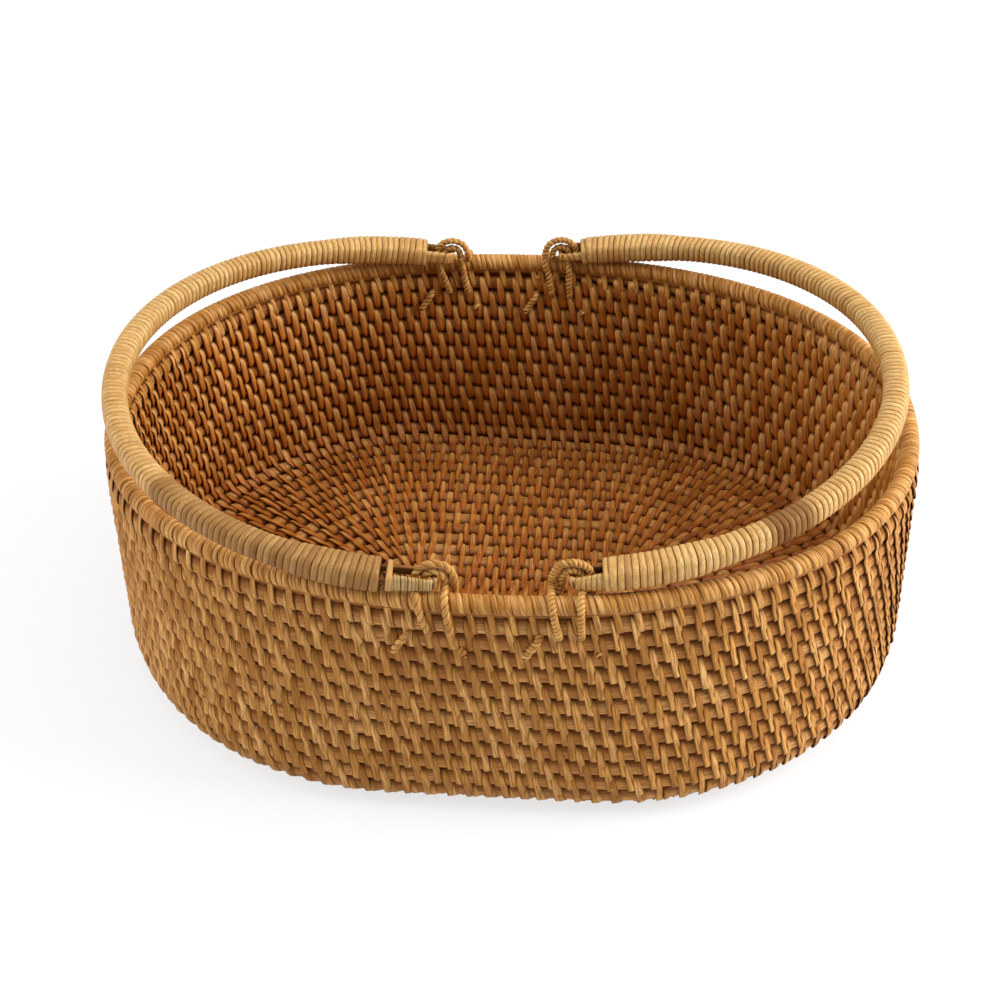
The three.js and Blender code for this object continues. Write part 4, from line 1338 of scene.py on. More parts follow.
@dataclass(frozen=True)
class Winding:
    """A strip of peel wound closely round something.

    The strip is thin and crowned, and its trailing edge is tucked a little
    under the next turn, so that a fine dark seam shows between turns, with
    painted shade in it. Each point of the section has its place across in
    widths, its height in thicknesses, and how much painted shade it takes.
    """

    pitch: float = 2.8
    width: float = 3.05
    thickness: float = 0.8
    steps: int = 20
    seam_shade: float = 0.85
    wobble: float = 0.1
    tuck: float = 0.6
    tones: tuple[float, float] = (0.4, 0.95)
    section: Sequence[tuple[float, float, float]] = (
        (-0.5, 0.3, 1.0), (-0.36, 0.88, 0.12), (0.0, 1.08, 0.0), (0.34, 0.82, 0.15),
        (0.5, 0.1, 1.0), (0.46, -0.3, 1.0), (-0.46, -0.1, 1.0))

    def wind(
        self, name: str, start: float, stop: float, girth: float,
        at: Callable[[np.ndarray, np.ndarray, np.ndarray], np.ndarray],
        rng: np.random.Generator, darkened_stretch: DarkStretch | None = None,
    ) -> bpy.types.Object:
        """Winds the strip.

        Args:
            name: Name of the piece.
            start: Length at which the first edge lies.
            stop: Length at which the last edge lies.
            girth: Millimetres round one turn, for the UV map.
            at: Gives a point from a length, an angle round and a lift.
            rng: Source of the tone along the strip.
            darkened_stretch: A darkened stretch, if any.

        Returns:
            The wound strip.
        """
        turns = max((stop - start - self.width) / self.pitch, 0.0) + 2
        tones = rng.uniform(*self.tones, int(turns * 2) + 4)
        wobble = rng.normal(0, self.wobble, int(turns * 3) + 4)
        sides = len(self.section)
        side, rise, dark = np.array(self.section).T
        side, rise, dark = side * self.width, rise * self.thickness, dark * self.seam_shade

        def shape(k: np.ndarray, j: np.ndarray) -> Shaped:
            """The strip's section along the helix.

            Args:
                k: Share along the strip.
                j: Share round its section.

            Returns:
                Points and attributes, with painted shade in the seams, and darker along a darkened stretch.
            """
            t = k * turns
            i = np.round(j * sides).astype(int) % sides
            along = start + self.width / 2 + self.pitch * np.clip(t - 1, 0, turns - 2)
            along = along + np.interp(t * 3, np.arange(len(wobble)), wobble)
            angle = 2 * math.pi * t
            ends = np.minimum(t, turns - t)
            tuck = -self.tuck * self.thickness * ease(1 - ends / 0.15)
            points = at(along + side[i], angle, rise[i] - self.thickness + tuck)
            tone = np.interp(t * 2, np.arange(len(tones)), tones)
            # Painted shade in the seams between turns and at the strip's edges.
            seam = dark[i]
            # Along a darkened stretch, the tone drops and more of the painted shade colour is mixed in.
            if darkened_stretch:
                inside = darkened_stretch.inside(along)
                tone = tone - darkened_stretch.depth * inside
                seam = np.maximum(seam, darkened_stretch.seam_gain * darkened_stretch.depth * inside)
            # Painted warm shade on the underside, for finishes with an inner colour.
            low = np.clip(-np.sin(angle), 0, 1)
            return points, {"tone": tone, "painted_shade": seam, "painted_shade_below": low * 0.7}

        rings = max(8, round(turns * self.steps))
        return swept_tube(name, rings, sides, shape, (self.width * 2.2, turns * girth))


@dataclass(frozen=True)
class LegBinding:
    """How the peel is wound on one leg of an eye: pitch and half heights."""

    pitch: float
    tip_height: float
    neck_height: float


@dataclass(frozen=True)
class GripEnd:
    """How one end of a grip is finished: where its peel starts and what binds the eye."""

    wrap_x: float
    band_x: float
    band_half_width: float
    band_half_height: float
    front_leg: LegBinding
    rear_leg: LegBinding | None = None
    is_old_peel: bool = False


@dataclass
class Bail:
    """One folding handle: wrapped rod, two eyes and their neck lashings."""

    plan: BailPlan
    side: Side
    finishes: Finishes
    rod_radius: float = 4.1
    rod_end_half_width: float = 2.9
    rod_end_x: float = 50.0
    eye_thickness: float = 1.9
    eye_height: float = 3.8
    eye_offset: float = 4.2
    eye_tail_x: float = 66.0
    eye_neck_x: float = 41.5
    eye_bend: float = 3.4
    eye_exponent: float = 3.0
    eye_tail_half_height: float = 1.5
    eye_section: float = 4.0
    eye_rings: int = 96
    eye_girth: float = 10.0
    eye_length: float = 90.0
    rod_rings: int = 120
    rod_girth: float = 25.0
    rod_taper: float = 10.0
    sides: int = 12
    grip_girth: float = 36.0
    grip_winding: Winding = Winding()
    seat_fade: float = 5.0
    seat_draw: float = 0.75
    leg_girth: float = 16.0
    leg_overhang: float = 1.1
    leg_lap: float = 0.8
    leg_half_width: float = 1.2
    leg_widening: float = 0.4
    leg_exponent: float = 2.8
    neck_girth: float = 34.0
    neck_winding: Winding = Winding(pitch=0.5, width=2.2, thickness=0.7, steps=28)
    neck_start: float = -1.3
    neck_length: float = 2.7
    neck_exponent: float = 4.0
    ends: dict[tuple[Side, End], GripEnd] = field(default_factory=lambda: {
        (Side.LEFT, End.FRONT): GripEnd(
            wrap_x=48.2, band_x=44.6, band_half_width=6.5, band_half_height=4.3,
            front_leg=LegBinding(1.4, 2.6, 3.5), is_old_peel=True),
        (Side.RIGHT, End.FRONT): GripEnd(
            wrap_x=41.6, band_x=40.6, band_half_width=6.5, band_half_height=5.2,
            front_leg=LegBinding(2.1, 2.9, 4.2)),
        (Side.LEFT, End.BACK): GripEnd(
            wrap_x=41.8, band_x=40.8, band_half_width=6.5, band_half_height=5.2,
            front_leg=LegBinding(3.3, 3.0, 3.3), rear_leg=LegBinding(2.3, 2.2, 2.6)),
        (Side.RIGHT, End.BACK): GripEnd(
            wrap_x=39.6, band_x=38.6, band_half_width=6.5, band_half_height=5.0,
            front_leg=LegBinding(3.0, 1.9, 2.2), rear_leg=LegBinding(2.6, 2.1, 2.9)),
    })

    @property
    def body(self) -> str:
        """Name of the body that the handle rides on."""
        return f"{self.side.name.lower()}_handle"

    def build(self) -> None:
        """Makes the handle's pieces."""
        rng = np.random.default_rng(SEED + 10 + self.side.value)
        grip = self.finishes.grip.build()
        strip = self.finishes.strip.build()
        name = self.side.name.lower()
        rod = self.rod(f"{name}_handle_rod")
        dress(rod, self.finishes.core.build(), self.body)
        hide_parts(f"{name}_grip_rod")
        wrap = self.wrap(f"{name}_handle_wrap", rng)
        dress(wrap, grip, self.body)
        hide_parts(f"{name}_grip_wrap")
        for end in (-1, 1):
            self.build_end(end, grip, strip, rng)
        log.info("%s handle: rod, wrap, two eyes and two neck bands", name)

    def build_end(
        self, end: int, grip: bpy.types.Material, strip: bpy.types.Material, rng: np.random.Generator,
    ) -> None:
        """Makes the eye at one end, the peel on its legs and its neck band.

        Args:
            end: Which end of the handle, -1 for drawing -Y.
            grip: Material of the handle's peel.
            strip: Material of the eye.
            rng: Source of the tones along the strips.
        """
        where = End.BACK if self.side.value * end > 0 else End.FRONT
        name = f"{self.side.name.lower()}_{where.name.lower()}"
        eye = self.eye(f"{name}_eye_strip", end)
        dress(eye, strip, self.body)
        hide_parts(f"{name}_eye")
        finish = self.ends[(self.side, where)]
        near = -where.value
        peel = self.finishes.old_peel.build() if finish.is_old_peel else grip
        leg = self.leg_wrap(f"{name}_eye_wrap", end, finish.front_leg, near, finish.band_x, rng)
        dress(leg, peel, self.body)
        if finish.rear_leg:
            rear = self.leg_wrap(f"{name}_eye_rear_wrap", end, finish.rear_leg, -near, finish.band_x, rng)
            dress(rear, strip, self.body)
        neck = self.neck(f"{name}_neck_band", end, finish, rng)
        dress(neck, grip, self.body)
        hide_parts(f"{name}_lashing")

    def rod(self, name: str) -> bpy.types.Object:
        """The rod inside the grip.

        Args:
            name: Name of the piece.

        Returns:
            The rod, thinned at its ends between the tails of the eyes.
        """
        plan = self.plan
        start = float(plan.length_at(self.rod_end_x))
        span = plan.total - 2 * start
        tail = float(plan.length_at(self.eye_tail_x)) - start
        thinned = self.rod_radius - self.rod_end_half_width

        def shape(k: np.ndarray, j: np.ndarray) -> Shaped:
            """A round section, narrower near both ends.

            Args:
                k: Share along the rod.
                j: Share round it.

            Returns:
                Points and attributes, with painted shade at the rod's ends.
            """
            length = start + span * k
            near = np.minimum(length, plan.total - length) - start
            wide = self.rod_end_half_width + thinned * ease((near - tail) / self.rod_taper)
            high = np.full_like(wide, self.rod_radius)
            return plan.around(length, 2 * math.pi * j, wide, high, 2.0, self.side), {
                "painted_shade": np.clip(1 - near / 2, 0, 1) * 0.5}

        return swept_tube(name, self.rod_rings, self.sides, shape, (self.rod_girth, span))

    def wrap(self, name: str, rng: np.random.Generator) -> bpy.types.Object:
        """The peel wound round the grip.

        Args:
            name: Name of the piece.
            rng: Source of the tone along the strip.

        Returns:
            The wound strip.
        """
        plan = self.plan
        first, last = (End.FRONT, End.BACK) if self.side is Side.RIGHT else (End.BACK, End.FRONT)
        seat = float(plan.length_at(plan.wrap_start_x))
        start = float(plan.length_at(self.ends[(self.side, first)].wrap_x))
        stop = plan.total - float(plan.length_at(self.ends[(self.side, last)].wrap_x))
        # The right grip's darkened stretch is a stain on its cane; the left grip's is darker over its last
        # 110 mm, up to its front end.
        darkened_stretch = DarkStretch(62.0, 91.0, 0.5) if self.side is Side.RIGHT else DarkStretch(stop - 110.0, stop + 20.0, 0.32)

        def at(length: np.ndarray, angle: np.ndarray, lift: np.ndarray) -> np.ndarray:
            """Point over the grip, drawn in below where it lies on the rim.

            Args:
                length: Length along the handle.
                angle: Angle round the grip.
                lift: Height over the grip's surface.

            Returns:
                Points with three columns.
            """
            from_end = np.minimum(length, plan.total - length)
            over = np.clip((seat - from_end) / self.seat_fade, 0, 1)
            drawn = self.seat_draw * over * np.clip(-np.sin(angle), 0, 1)
            return plan.on_grip(length, angle, lift - drawn, self.side)

        return self.grip_winding.wind(name, start, stop, self.grip_girth, at, rng, darkened_stretch)

    def bend(self, t: np.ndarray) -> tuple[np.ndarray, np.ndarray]:
        """The eye's U on the flat drawing.

        Args:
            t: Share along the strip, from one tail's end to the other's.

        Returns:
            X, and the distance beside the handle's centre line.
        """
        turn = np.radians(np.linspace(0, 90, 16))
        across, up = rounded(turn, self.eye_exponent)
        hinge = self.plan.hinge_x
        bx = hinge + self.eye_bend * (1 - up)
        by = across * self.eye_offset
        xs = np.concatenate([[self.eye_tail_x, 55.0, self.eye_neck_x], bx])
        ys = np.concatenate([[self.eye_offset] * 3, by])
        xs = np.concatenate([xs, xs[-2::-1]])
        ys = np.concatenate([ys, -ys[-2::-1]])
        run = lengths_along(xs, ys)
        run /= run[-1]
        return np.interp(t, run, xs), np.interp(t, run, ys)

    def eye(self, name: str, end: int) -> bpy.types.Object:
        """The strip bent into an eye.

        Args:
            name: Name of the piece.
            end: Which end of the handle, -1 for drawing -Y.

        Returns:
            The strip with its two tails.
        """
        plan = self.plan

        def centre(t: np.ndarray) -> np.ndarray:
            """Point of the strip's centre line on the flat drawing."""
            x, offset = self.bend(np.clip(t, 0, 1))
            return np.stack(plan.beside(x, offset, end), -1)

        def shape(k: np.ndarray, j: np.ndarray) -> Shaped:
            """A flat section on edge, lower where the tails enter the grip.

            Args:
                k: Share along the strip.
                j: Share round it.

            Returns:
                Points and attributes: pale on the cut edges, with a little painted shade over the flat faces.
            """
            middle = centre(k)
            ahead = unit(centre(k + NUDGE) - centre(k - NUDGE))
            x, _ = self.bend(k)
            c, s = rounded(2 * math.pi * j, self.eye_section)
            high = np.where(x > self.eye_neck_x + 0.7, self.eye_tail_half_height, self.eye_height / 2)
            px = middle[:, 0] + ahead[:, 1] * c * self.eye_thickness / 2
            py = middle[:, 1] - ahead[:, 0] * c * self.eye_thickness / 2
            edge = np.clip(np.abs(s) * 3 - 2.2, 0, 1)
            points = plan.place(px, py, s * high, self.side)
            return points, {"tone": 0.35 + 0.6 * edge, "painted_shade": 0.25 * (1 - edge)}

        return swept_tube(name, self.eye_rings, self.sides, shape, (self.eye_girth, self.eye_length))

    def leg_wrap(
        self, name: str, end: int, binding: LegBinding, near: int, stop_x: float, rng: np.random.Generator,
    ) -> bpy.types.Object:
        """The peel wound round one leg of an eye.

        Args:
            name: Name of the piece.
            end: Which end of the handle, -1 for drawing -Y.
            binding: How the peel is wound.
            near: 1 for the leg that faces outward, -1 for the other.
            stop_x: Where the binding meets the grip's peel.
            rng: Source of the tone along the strip.

        Returns:
            The wound strip.
        """
        plan = self.plan
        tip = plan.hinge_x - self.leg_overhang

        def at(along: np.ndarray, angle: np.ndarray, lift: np.ndarray) -> np.ndarray:
            """Point over one leg, which follows the eye's bend.

            Args:
                along: Distance from the tip.
                angle: Angle round the leg.
                lift: Height over its surface.

            Returns:
                Points with three columns.
            """
            x = tip + along
            k = ease(along / (stop_x - tip))
            rounding = np.clip(1 - (x - plan.hinge_x) / self.eye_bend, 0, 0.9)
            bow = self.eye_offset * (1 - rounding ** self.eye_exponent) ** (1 / self.eye_exponent)
            c, s = rounded(angle, self.leg_exponent)
            across = (self.leg_half_width + self.leg_widening * k + lift) * c
            up = (binding.tip_height + (binding.neck_height - binding.tip_height) * k + lift) * s
            px, py = plan.beside(x, near * bow + across, end)
            return plan.place(px, py, up, self.side)

        strip = Winding(pitch=binding.pitch, width=binding.pitch * 1.1, thickness=0.5, steps=16)
        return strip.wind(name, 0.0, stop_x - tip + self.leg_lap, self.leg_girth, at, rng)

    def neck(self, name: str, end: int, finish: GripEnd, rng: np.random.Generator) -> bpy.types.Object:
        """The band that locks the eye's legs in front of the grip.

        Args:
            name: Name of the piece.
            end: Which end of the handle, -1 for drawing -Y.
            finish: How this end is finished.
            rng: Source of the tone along the strip.

        Returns:
            The wound band.
        """
        plan = self.plan

        def at(along: np.ndarray, angle: np.ndarray, lift: np.ndarray) -> np.ndarray:
            """Point over both legs together.

            Args:
                along: Distance from the band's first edge.
                angle: Angle round the band.
                lift: Height over its surface.

            Returns:
                Points with three columns.
            """
            c, s = rounded(angle, self.neck_exponent)
            x = finish.band_x + self.neck_start + along
            px, py = plan.beside(x, (finish.band_half_width + lift) * c, end)
            return plan.place(px, py, (finish.band_half_height + lift) * s, self.side)

        return self.neck_winding.wind(name, 0.0, self.neck_length, self.neck_girth, at, rng)


@dataclass(frozen=True)
class TieRoute:
    """How one tie runs and how it is twisted.

    The four holes are given by their distance along the wall from the hinge.
    The tail and the stub are the ends that show.
    """

    tail: float
    first: float
    second: float
    stub: float
    hole_drop: float
    lay: float


@dataclass
class Tie:
    """A two-strand twist of peel, passed twice through the wall and the eye."""

    bails: BailPlan
    side: Side
    end: End
    finishes: Finishes
    radius: float = 1.6
    clearance: float = 0.45
    gap: float = 0.7
    bar: float = 2.15
    fit: float = 0.35
    strand_radius: float = 1.27
    strand_offset: float = 0.36
    step: float = 0.36
    strand_girth: float = 7.5
    end_spread: float = 0.9
    spread_length: float = 2.5
    end_thinning: float = 0.35
    thinning_length: float = 2.0
    tones: tuple[float, float] = (0.2, 0.9)
    tone_count: int = 80
    tone_length: float = 2.2
    drift_angle: float = 0.5
    drift_count: int = 40
    drift_length: float = 9.0
    front_station: int = 17
    back_station: int = 7
    rows_searched: int = 5
    angles: Sequence[float] = (0, 34, 64, 86, 101, 118, 180, 242, 259, 274, 296, 326, 360)
    routes: dict[tuple[Side, End], TieRoute] = field(default_factory=lambda: {
        (Side.LEFT, End.FRONT): TieRoute(
            tail=-10.5, first=7.0, second=-2.0, stub=11.5, hole_drop=16.5, lay=6.8),
        (Side.LEFT, End.BACK): TieRoute(
            tail=-10.5, first=7.0, second=-2.0, stub=11.5, hole_drop=20.5, lay=5.0),
        (Side.RIGHT, End.FRONT): TieRoute(
            tail=-12.0, first=4.5, second=-4.2, stub=11.0, hole_drop=16.5, lay=3.6),
        (Side.RIGHT, End.BACK): TieRoute(
            tail=-12.0, first=4.5, second=-4.2, stub=11.0, hole_drop=20.5, lay=4.4),
    })

    @property
    def route(self) -> TieRoute:
        """This tie's own route."""
        return self.routes[(self.side, self.end)]

    def wall_middle(self, x: float, z: float) -> float:
        """Distance of the wall's middle from the X axis.

        Args:
            x: Place along the wall.
            z: Height.

        Returns:
            Distance, the same on both long walls.
        """
        coil = self.bails.coil
        q = np.linspace(coil.round_share + 0.01, 0.5, 400)
        s = np.full_like(q, z - coil.corner_radius + coil.floor_rho + coil.corner_arc)
        point = coil.frame_at(q, s)[0]
        return float(np.interp(abs(x), -point[:, 0], point[:, 1]))

    def seam_height(self, x: float, wanted: float) -> float:
        """Height of the seam between rows that is nearest to a wanted height.

        Args:
            x: Place along the wall.
            wanted: Height that the seam should have.

        Returns:
            Height of the seam.
        """
        coil = self.bails.coil
        k = (x + coil.half_straight) / coil.half_straight
        station = self.front_station + k if self.end is End.FRONT else self.back_station - k
        share = (station / STATIONS + coil.phase) % 1.0
        highest = coil.last_turn if share < coil.level_share else coil.last_turn - 1
        best = 0.0
        for whole in range(coil.last_turn - self.rows_searched, highest + 1):
            rows = coil.reached(np.array([whole + share - 1, whole + share]))
            seam = float(np.mean(coil.profile(rows)[1]))
            if abs(seam - wanted) < abs(best - wanted):
                best = seam
        return best

    def knots(self) -> np.ndarray:
        """Points that the tie passes, from its tail to its stub.

        Returns:
            Points with three columns, the same as the solid tie's.
        """
        bails, coil, route, r = self.bails, self.bails.coil, self.route, self.radius
        side, end = self.side.value, self.end.value
        face = -end
        wanted = coil.height - route.hole_drop
        pivot = bails.turned(side * bails.hinge_x, end * bails.half_width, bails.hinge_z)
        clear = coil.half_depth + r + self.clearance + 0.1
        rim_z = coil.rim_z

        def slot(d: float, v: float, rise: float) -> np.ndarray:
            """Point in the eye's slot, from the hinge."""
            return bails.turned(side * bails.hinge_x + d, end * (bails.half_width + v), bails.hinge_z + rise)

        def wall(d: float, across: float, z: float) -> np.ndarray:
            """Point beside the wall, by its distance from the wall's middle."""
            x = pivot[0] + d
            return np.array([x, end * (self.wall_middle(x, z) + across), z])

        def seam(d: float, rows: int) -> float:
            """Height of the seam that a hole lies in, some rows further down."""
            return self.seam_height(pivot[0] + d, wanted - rows * coil.pitch)

        def leg(d: float, hole: float, way: int) -> list[np.ndarray]:
            """Points from the eye's slot down one face of the wall to a hole.

            Args:
                d: Distance along the wall at the slot.
                hole: Distance along the wall at the hole.
                way: 1 for the outer face, which lies beyond the rim, and -1 for the inner one.

            Returns:
                Points from the slot to the hole.
            """
            z = seam(hole, 0)

            def to(k: float) -> float:
                """Distance along the wall at a share of the way to the hole."""
                return d + (hole - d) * k

            if way > 0:
                over = [slot(d, 0.75 * r, -1.95 * r), wall(to(0.1), 0.5 * r, rim_z + 2.95 * r),
                        wall(to(0.2), 2.2 * r, rim_z + 2.25 * r), wall(to(0.35), 3.4 * r, rim_z + 0.7 * r)]
            else:
                over = [slot(d, -0.3 * r, -2.05 * r), wall(to(0.25), 0.2 * r - clear, rim_z + 0.9 * r)]
            return [slot(d, 0, -r), *over,
                    wall(to(0.6), way * clear, rim_z + (z - rim_z) * 0.3),
                    wall(to(0.9), way * clear, z + 2.6 * r),
                    wall(hole, way * (clear - 0.3 * r), z + 0.95 * r),
                    wall(hole, way * (clear - 1.5 * r), z + 0.05 * r),
                    wall(hole, 0, z)]

        def arc(radius: float, start: int) -> list[np.ndarray]:
            """Points of a half turn over the eye's end."""
            turns = np.radians([0, 45, 90, 135, 180])
            return [slot(start * radius * math.cos(a), 0, radius * math.sin(a)) for a in turns]

        inner = self.bar + self.fit + r
        outer = inner + 2 * r + self.gap
        tail, second, stub = route.tail, route.second, route.stub
        tail_z, back_z, stub_z = seam(tail, 0), seam(second, 0), seam(stub, 1)

        def run(k: float) -> float:
            """Distance along the wall on the far side, from the second hole to the stub."""
            return second + (stub - second) * k

        points = [
            wall(tail - 3.75 * r, face * (clear + 0.2 * r), tail_z - 5.9 * r),
            wall(tail - 2 * r, face * clear, tail_z - 3 * r),
            wall(tail - 0.45 * r, face * (clear - 0.25 * r), tail_z - 0.75 * r),
            wall(tail, face * (clear - 1.5 * r), tail_z),
            *leg(-inner, tail, -face)[::-1],
            *arc(inner, -1),
            *leg(inner, route.first, face),
            *leg(outer, route.first, -face)[::-1][1:],
            *arc(outer, 1),
            *leg(-outer, second, face),
            wall(second, -face * (clear - 1.5 * r), back_z - 0.05 * r),
            wall(run(0.1), -face * (clear - 0.25 * r), back_z - 1.1 * r),
            wall(run(0.35), -face * clear, back_z - 2.75 * r),
            wall(run(0.75), -face * clear, stub_z + 1.1 * r),
            wall(run(0.95), -face * (clear - 0.3 * r), stub_z + 0.1 * r),
            wall(stub, -face * (clear - 1.6 * r), stub_z),
            wall(stub, 0, stub_z),
            wall(stub, face * (clear - r), stub_z),
            wall(stub + 0.3 * r, face * (clear + 0.25 * r), stub_z - 0.45 * r),
        ]
        return np.array(points)

    def line(self) -> np.ndarray:
        """Smooth centre line through the knots.

        Returns:
            Evenly spaced points with three columns.
        """
        p = self.knots()
        p = np.concatenate([[2 * p[0] - p[1]], p, [2 * p[-1] - p[-2]]])
        dt = np.maximum(np.linalg.norm(np.diff(p, axis=0), axis=-1) ** 0.5, 1e-4)
        pieces = []
        u = np.linspace(0, 1, 24, endpoint=False)[:, None]
        for i in range(1, len(p) - 2):
            a, b, c = dt[i - 1], dt[i], dt[i + 1]
            t1 = ((p[i] - p[i - 1]) / a - (p[i + 1] - p[i - 1]) / (a + b) + (p[i + 1] - p[i]) / b) * b
            t2 = ((p[i + 1] - p[i]) / b - (p[i + 2] - p[i]) / (b + c) + (p[i + 2] - p[i + 1]) / c) * b
            h = p[i + 1] - p[i]
            pieces.append(p[i] + t1 * u + (3 * h - 2 * t1 - t2) * u ** 2 + (t1 + t2 - 2 * h) * u ** 3)
        dense = np.concatenate([*pieces, p[-2:-1]])
        run = np.concatenate([[0], np.cumsum(np.linalg.norm(np.diff(dense, axis=0), axis=-1))])
        count = round(run[-1] / self.step)
        even = np.linspace(0, run[-1], count + 1)
        return np.stack([np.interp(even, run, dense[:, i]) for i in range(3)], -1)

    def sides_of(self, line: np.ndarray) -> tuple[np.ndarray, np.ndarray]:
        """Two directions square to the line, carried along it without twist.

        Args:
            line: Points of the centre line.

        Returns:
            Unit directions at each point.
        """
        ahead = unit(np.gradient(line, axis=0))
        across = np.empty_like(line)
        current = np.cross([0, 0, 1], ahead[0])
        for i, tangent in enumerate(ahead):
            current = current - tangent * float(current @ tangent)
            current = current / np.linalg.norm(current)
            across[i] = current
        return across, np.cross(ahead, across)

    def strand(
        self, name: str, line: np.ndarray, phase: float, drift: np.ndarray, tones: np.ndarray,
    ) -> bpy.types.Object:
        """One strand of the twist.

        Args:
            name: Name of the piece.
            line: Points of the tie's centre line.
            phase: Share of a turn at which the strand starts.
            drift: Angle by which the twist is off at each point.
            tones: Tones along the strand.

        Returns:
            The strand.
        """
        across, other = self.sides_of(line)
        count = len(line) - 1
        length = count * self.step
        lay = self.route.lay
        stations = np.linspace(0, 1, len(self.angles))

        def shape(k: np.ndarray, j: np.ndarray) -> Shaped:
            """The strand's round section, spread and thinned at the cut ends.

            Args:
                k: Share along the tie.
                j: Share round the strand.

            Returns:
                Points and attributes, with painted shade between the strands.
            """
            i = np.round(k * count).astype(int)
            run = i * self.step
            turn = 2 * math.pi * (run / lay + phase) + drift[i]
            near = np.minimum(run, length - run)
            apart = self.strand_offset * (1 + self.end_spread * ease(1 - near / self.spread_length))
            thick = self.strand_radius * (1 - self.end_thinning * ease(1 - near / self.thinning_length))
            own = np.radians(np.interp(j, stations, self.angles))
            off_a = apart * np.cos(turn) + thick * np.cos(turn + own)
            off_b = apart * np.sin(turn) + thick * np.sin(turn + own)
            points = line[i] + across[i] * off_a[:, None] + other[i] * off_b[:, None]
            # Painted shade on the side of each strand that faces the other.
            inside = np.clip(-np.cos(own) * 6.0 - 0.4, 0, 1)
            tone = np.interp(run / self.tone_length, np.arange(len(tones)), tones)
            return points, {"painted_shade": inside, "tone": tone}

        return swept_tube(name, count, len(self.angles) - 1, shape, (self.strand_girth, length))

    def build(self) -> None:
        """Makes the two strands of the tie."""
        line = self.line()
        material = self.finishes.tie.build()
        rng = np.random.default_rng(SEED + 30 + 2 * self.side.value + self.end.value)
        places = np.arange(len(line)) * self.step / self.drift_length
        angles = rng.normal(0, self.drift_angle, self.drift_count)
        drift = np.interp(places, np.arange(self.drift_count), angles)
        name = f"tie_{self.end.name.lower()}_{self.side.name.lower()}"
        pieces = []
        for i in (0, 1):
            tones = rng.uniform(*self.tones, self.tone_count)
            pieces.append(self.strand(f"{name}_strand_{i + 1}", line, i / 2, drift, tones))
        for piece in pieces:
            dress(piece, material, "basket")
        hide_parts(name)
        log.info("%s: %.0f mm of twist", name, (len(line) - 1) * self.step)


# ---- Studio

@dataclass(frozen=True)
class Softbox:
    """A square lamp that faces the basket: place and size in metres, and watts."""

    name: str
    place: tuple[float, float, float]
    size: float
    watts: float

    def build(self, target: tuple[float, float, float]) -> None:
        """Makes the lamp.

        Args:
            target: The point that it faces.
        """
        data = bpy.data.lights.new(self.name, "AREA")
        data.size = self.size
        data.energy = self.watts
        lamp = bpy.data.objects.new(self.name, data)
        bpy.context.scene.collection.objects.link(lamp)
        lamp.location = self.place
        aim = Vector(target) - Vector(self.place)
        lamp.rotation_euler = aim.to_track_quat("-Z", "Y").to_euler()


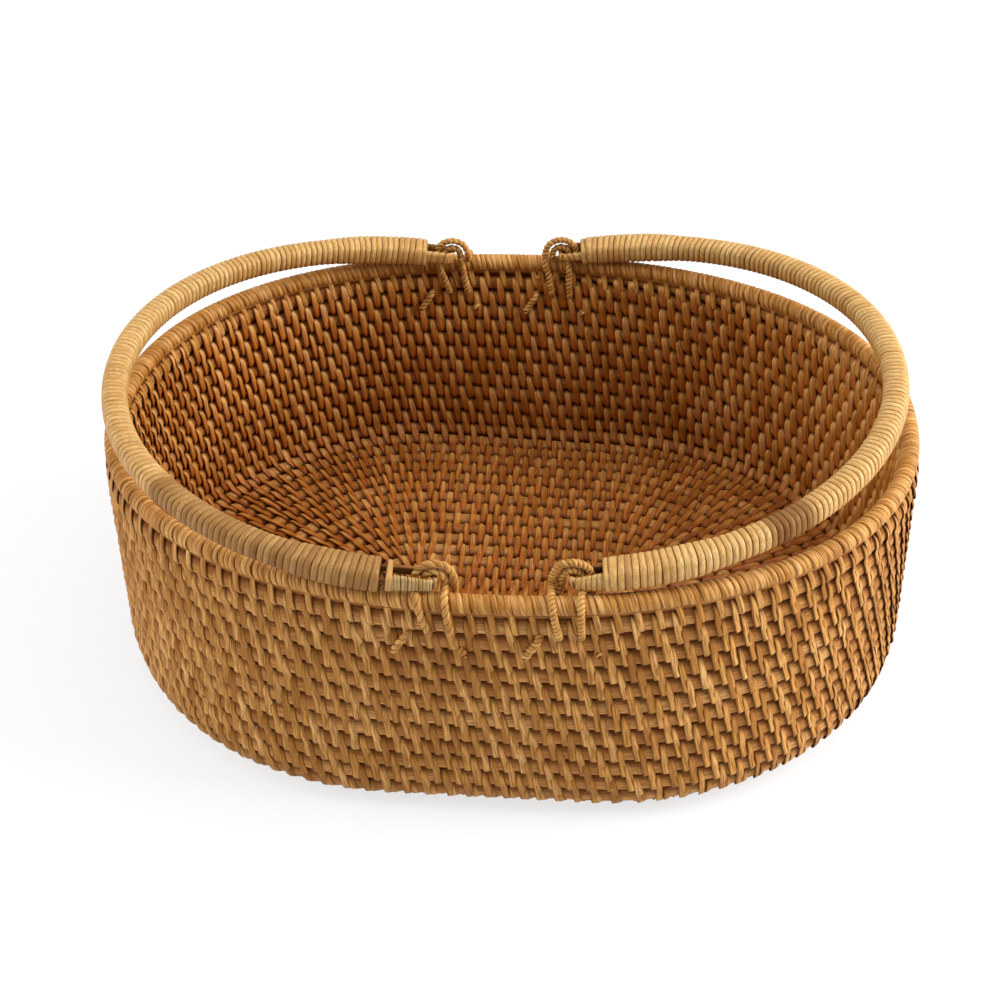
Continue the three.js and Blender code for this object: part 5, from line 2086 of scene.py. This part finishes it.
@dataclass(frozen=True)
class Studio:
    """Pale floor, soft lights and the photograph's camera, in metres and degrees.

    The floor glows a little less near the basket than far from it, as the
    photograph's backdrop does.
    """

    position: tuple[float, float, float] = (0.0642, -0.7081, 0.6000)
    pitch: float = -37.06
    yaw: float = -5.57
    roll: float = -1.05
    lens: float = 69.43
    sensor_width: float = 36.0
    nearest: float = 0.01
    softboxes: tuple[Softbox, ...] = (
        Softbox("top_softbox", (0.1, 0.0, 1.7), 1.3, 12.0),
        Softbox("left_softbox", (-1.6, -0.3, 0.9), 1.2, 20.5),
        Softbox("right_softbox", (1.6, 0.1, 0.9), 1.2, 49.0),
    )
    target: tuple[float, float, float] = (0, 0, 0.06)
    world_strength: float = 0.38
    floor_size: float = 8.0
    floor_z: float = -0.0004
    glow_from: float = 0.5
    glow_to: float = 1.6
    least_glow: float = 0.72

    def build(self) -> None:
        """Makes floor, lamps, world and camera."""
        self.floor()
        self.lamps()
        self.camera()
        bpy.context.scene.view_settings.view_transform = "Standard"

    def seen(self, tree: bpy.types.NodeTree) -> bpy.types.NodeSocket:
        """Picks out the rays that should meet plain white.

        Args:
            tree: Node tree that gets the nodes.

        Returns:
            Socket that is 1 for the camera's rays and for mirrored ones.
        """
        path = add_node(tree, "ShaderNodeLightPath").outputs
        mirrored = add_node(tree, "ShaderNodeMath", {
            0: path["Is Glossy Ray"], 1: path["Is Transmission Ray"]}, operation="ADD").outputs[0]
        return add_node(tree, "ShaderNodeMath", {
            0: path["Is Camera Ray"], 1: mirrored}, operation="ADD", use_clamp=True).outputs[0]

    def floor(self) -> None:
        """The plain floor, which keeps the basket's shadow."""
        bpy.ops.object.select_all(action="DESELECT")
        bpy.ops.mesh.primitive_plane_add(size=self.floor_size, location=(0, 0, self.floor_z))
        plane = bpy.context.active_object
        plane.name = "studio_floor"
        material = bpy.data.materials.new("matt_white_backdrop_paper")
        material.use_nodes = True
        tree = material.node_tree
        tree.nodes.clear()
        paper = add_node(tree, "ShaderNodeBsdfDiffuse", {"Color": (0.9, 0.9, 0.9, 1)})
        glow = add_node(tree, "ShaderNodeEmission", {"Color": (1, 1, 1, 1), "Strength": 1.0})
        place = add_node(tree, "ShaderNodeTexCoord").outputs["Object"]
        away = add_node(tree, "ShaderNodeVectorMath", {0: place}, operation="LENGTH").outputs["Value"]
        glowing = add_node(tree, "ShaderNodeMapRange", {
            "Value": away, "From Min": self.glow_from, "From Max": self.glow_to,
            "To Min": self.least_glow, "To Max": 1.0}).outputs[0]
        share = add_node(
            tree, "ShaderNodeMath", {0: self.seen(tree), 1: glowing}, operation="MULTIPLY").outputs[0]
        mix = add_node(tree, "ShaderNodeMixShader", {0: share, 1: paper.outputs[0], 2: glow.outputs[0]})
        add_node(tree, "ShaderNodeOutputMaterial", {"Surface": mix.outputs[0]})
        plane.data.materials.append(material)

    def lamps(self) -> None:
        """Three large soft lamps and an even world."""
        for softbox in self.softboxes:
            softbox.build(self.target)
        world = bpy.data.worlds.new("studio_world")
        bpy.context.scene.world = world
        world.use_nodes = True
        tree = world.node_tree
        tree.nodes.clear()
        soft = add_node(tree, "ShaderNodeBackground", {
            "Color": (1, 1, 1, 1), "Strength": self.world_strength})
        white = add_node(tree, "ShaderNodeBackground", {"Color": (1, 1, 1, 1), "Strength": 1.0})
        mix = add_node(tree, "ShaderNodeMixShader", {
            0: self.seen(tree), 1: soft.outputs[0], 2: white.outputs[0]})
        add_node(tree, "ShaderNodeOutputWorld", {"Surface": mix.outputs[0]})

    def camera(self) -> None:
        """The camera at the photograph's place and angle."""
        p, y, r = (math.radians(a) for a in (self.pitch, self.yaw, self.roll))
        ahead = Vector((math.sin(y) * math.cos(p), math.cos(y) * math.cos(p), math.sin(p)))
        right = Vector((math.cos(y), -math.sin(y), 0))
        up = right.cross(ahead)
        x_axis = right * math.cos(r) + up * math.sin(r)
        y_axis = up * math.cos(r) - right * math.sin(r)
        turn = Matrix((x_axis, y_axis, -ahead)).transposed().to_4x4()
        data = bpy.data.cameras.new("photo_camera")
        data.lens = self.lens
        data.sensor_width = self.sensor_width
        data.clip_start = self.nearest
        camera = bpy.data.objects.new("photo_camera", data)
        camera.matrix_world = Matrix.Translation(self.position) @ turn
        bpy.context.scene.collection.objects.link(camera)
        bpy.context.scene.camera = camera


def main() -> None:
    """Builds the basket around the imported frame."""
    logging.basicConfig(level=logging.INFO, format="%(name)s: %(message)s")
    finishes = Finishes()
    plan = CoilPlan()
    Studio().build()
    CoiledCore(plan, finishes).build()
    lashing = Lashing(plan, finishes)
    lashing.build()
    RimBinding(plan, finishes, lashing).build()
    bails = BailPlan(plan)
    for side in Side:
        Bail(bails, side, finishes).build()
        for end in End:
            Tie(bails, side, end, finishes).build()


if __name__ == "__main__":
    main()
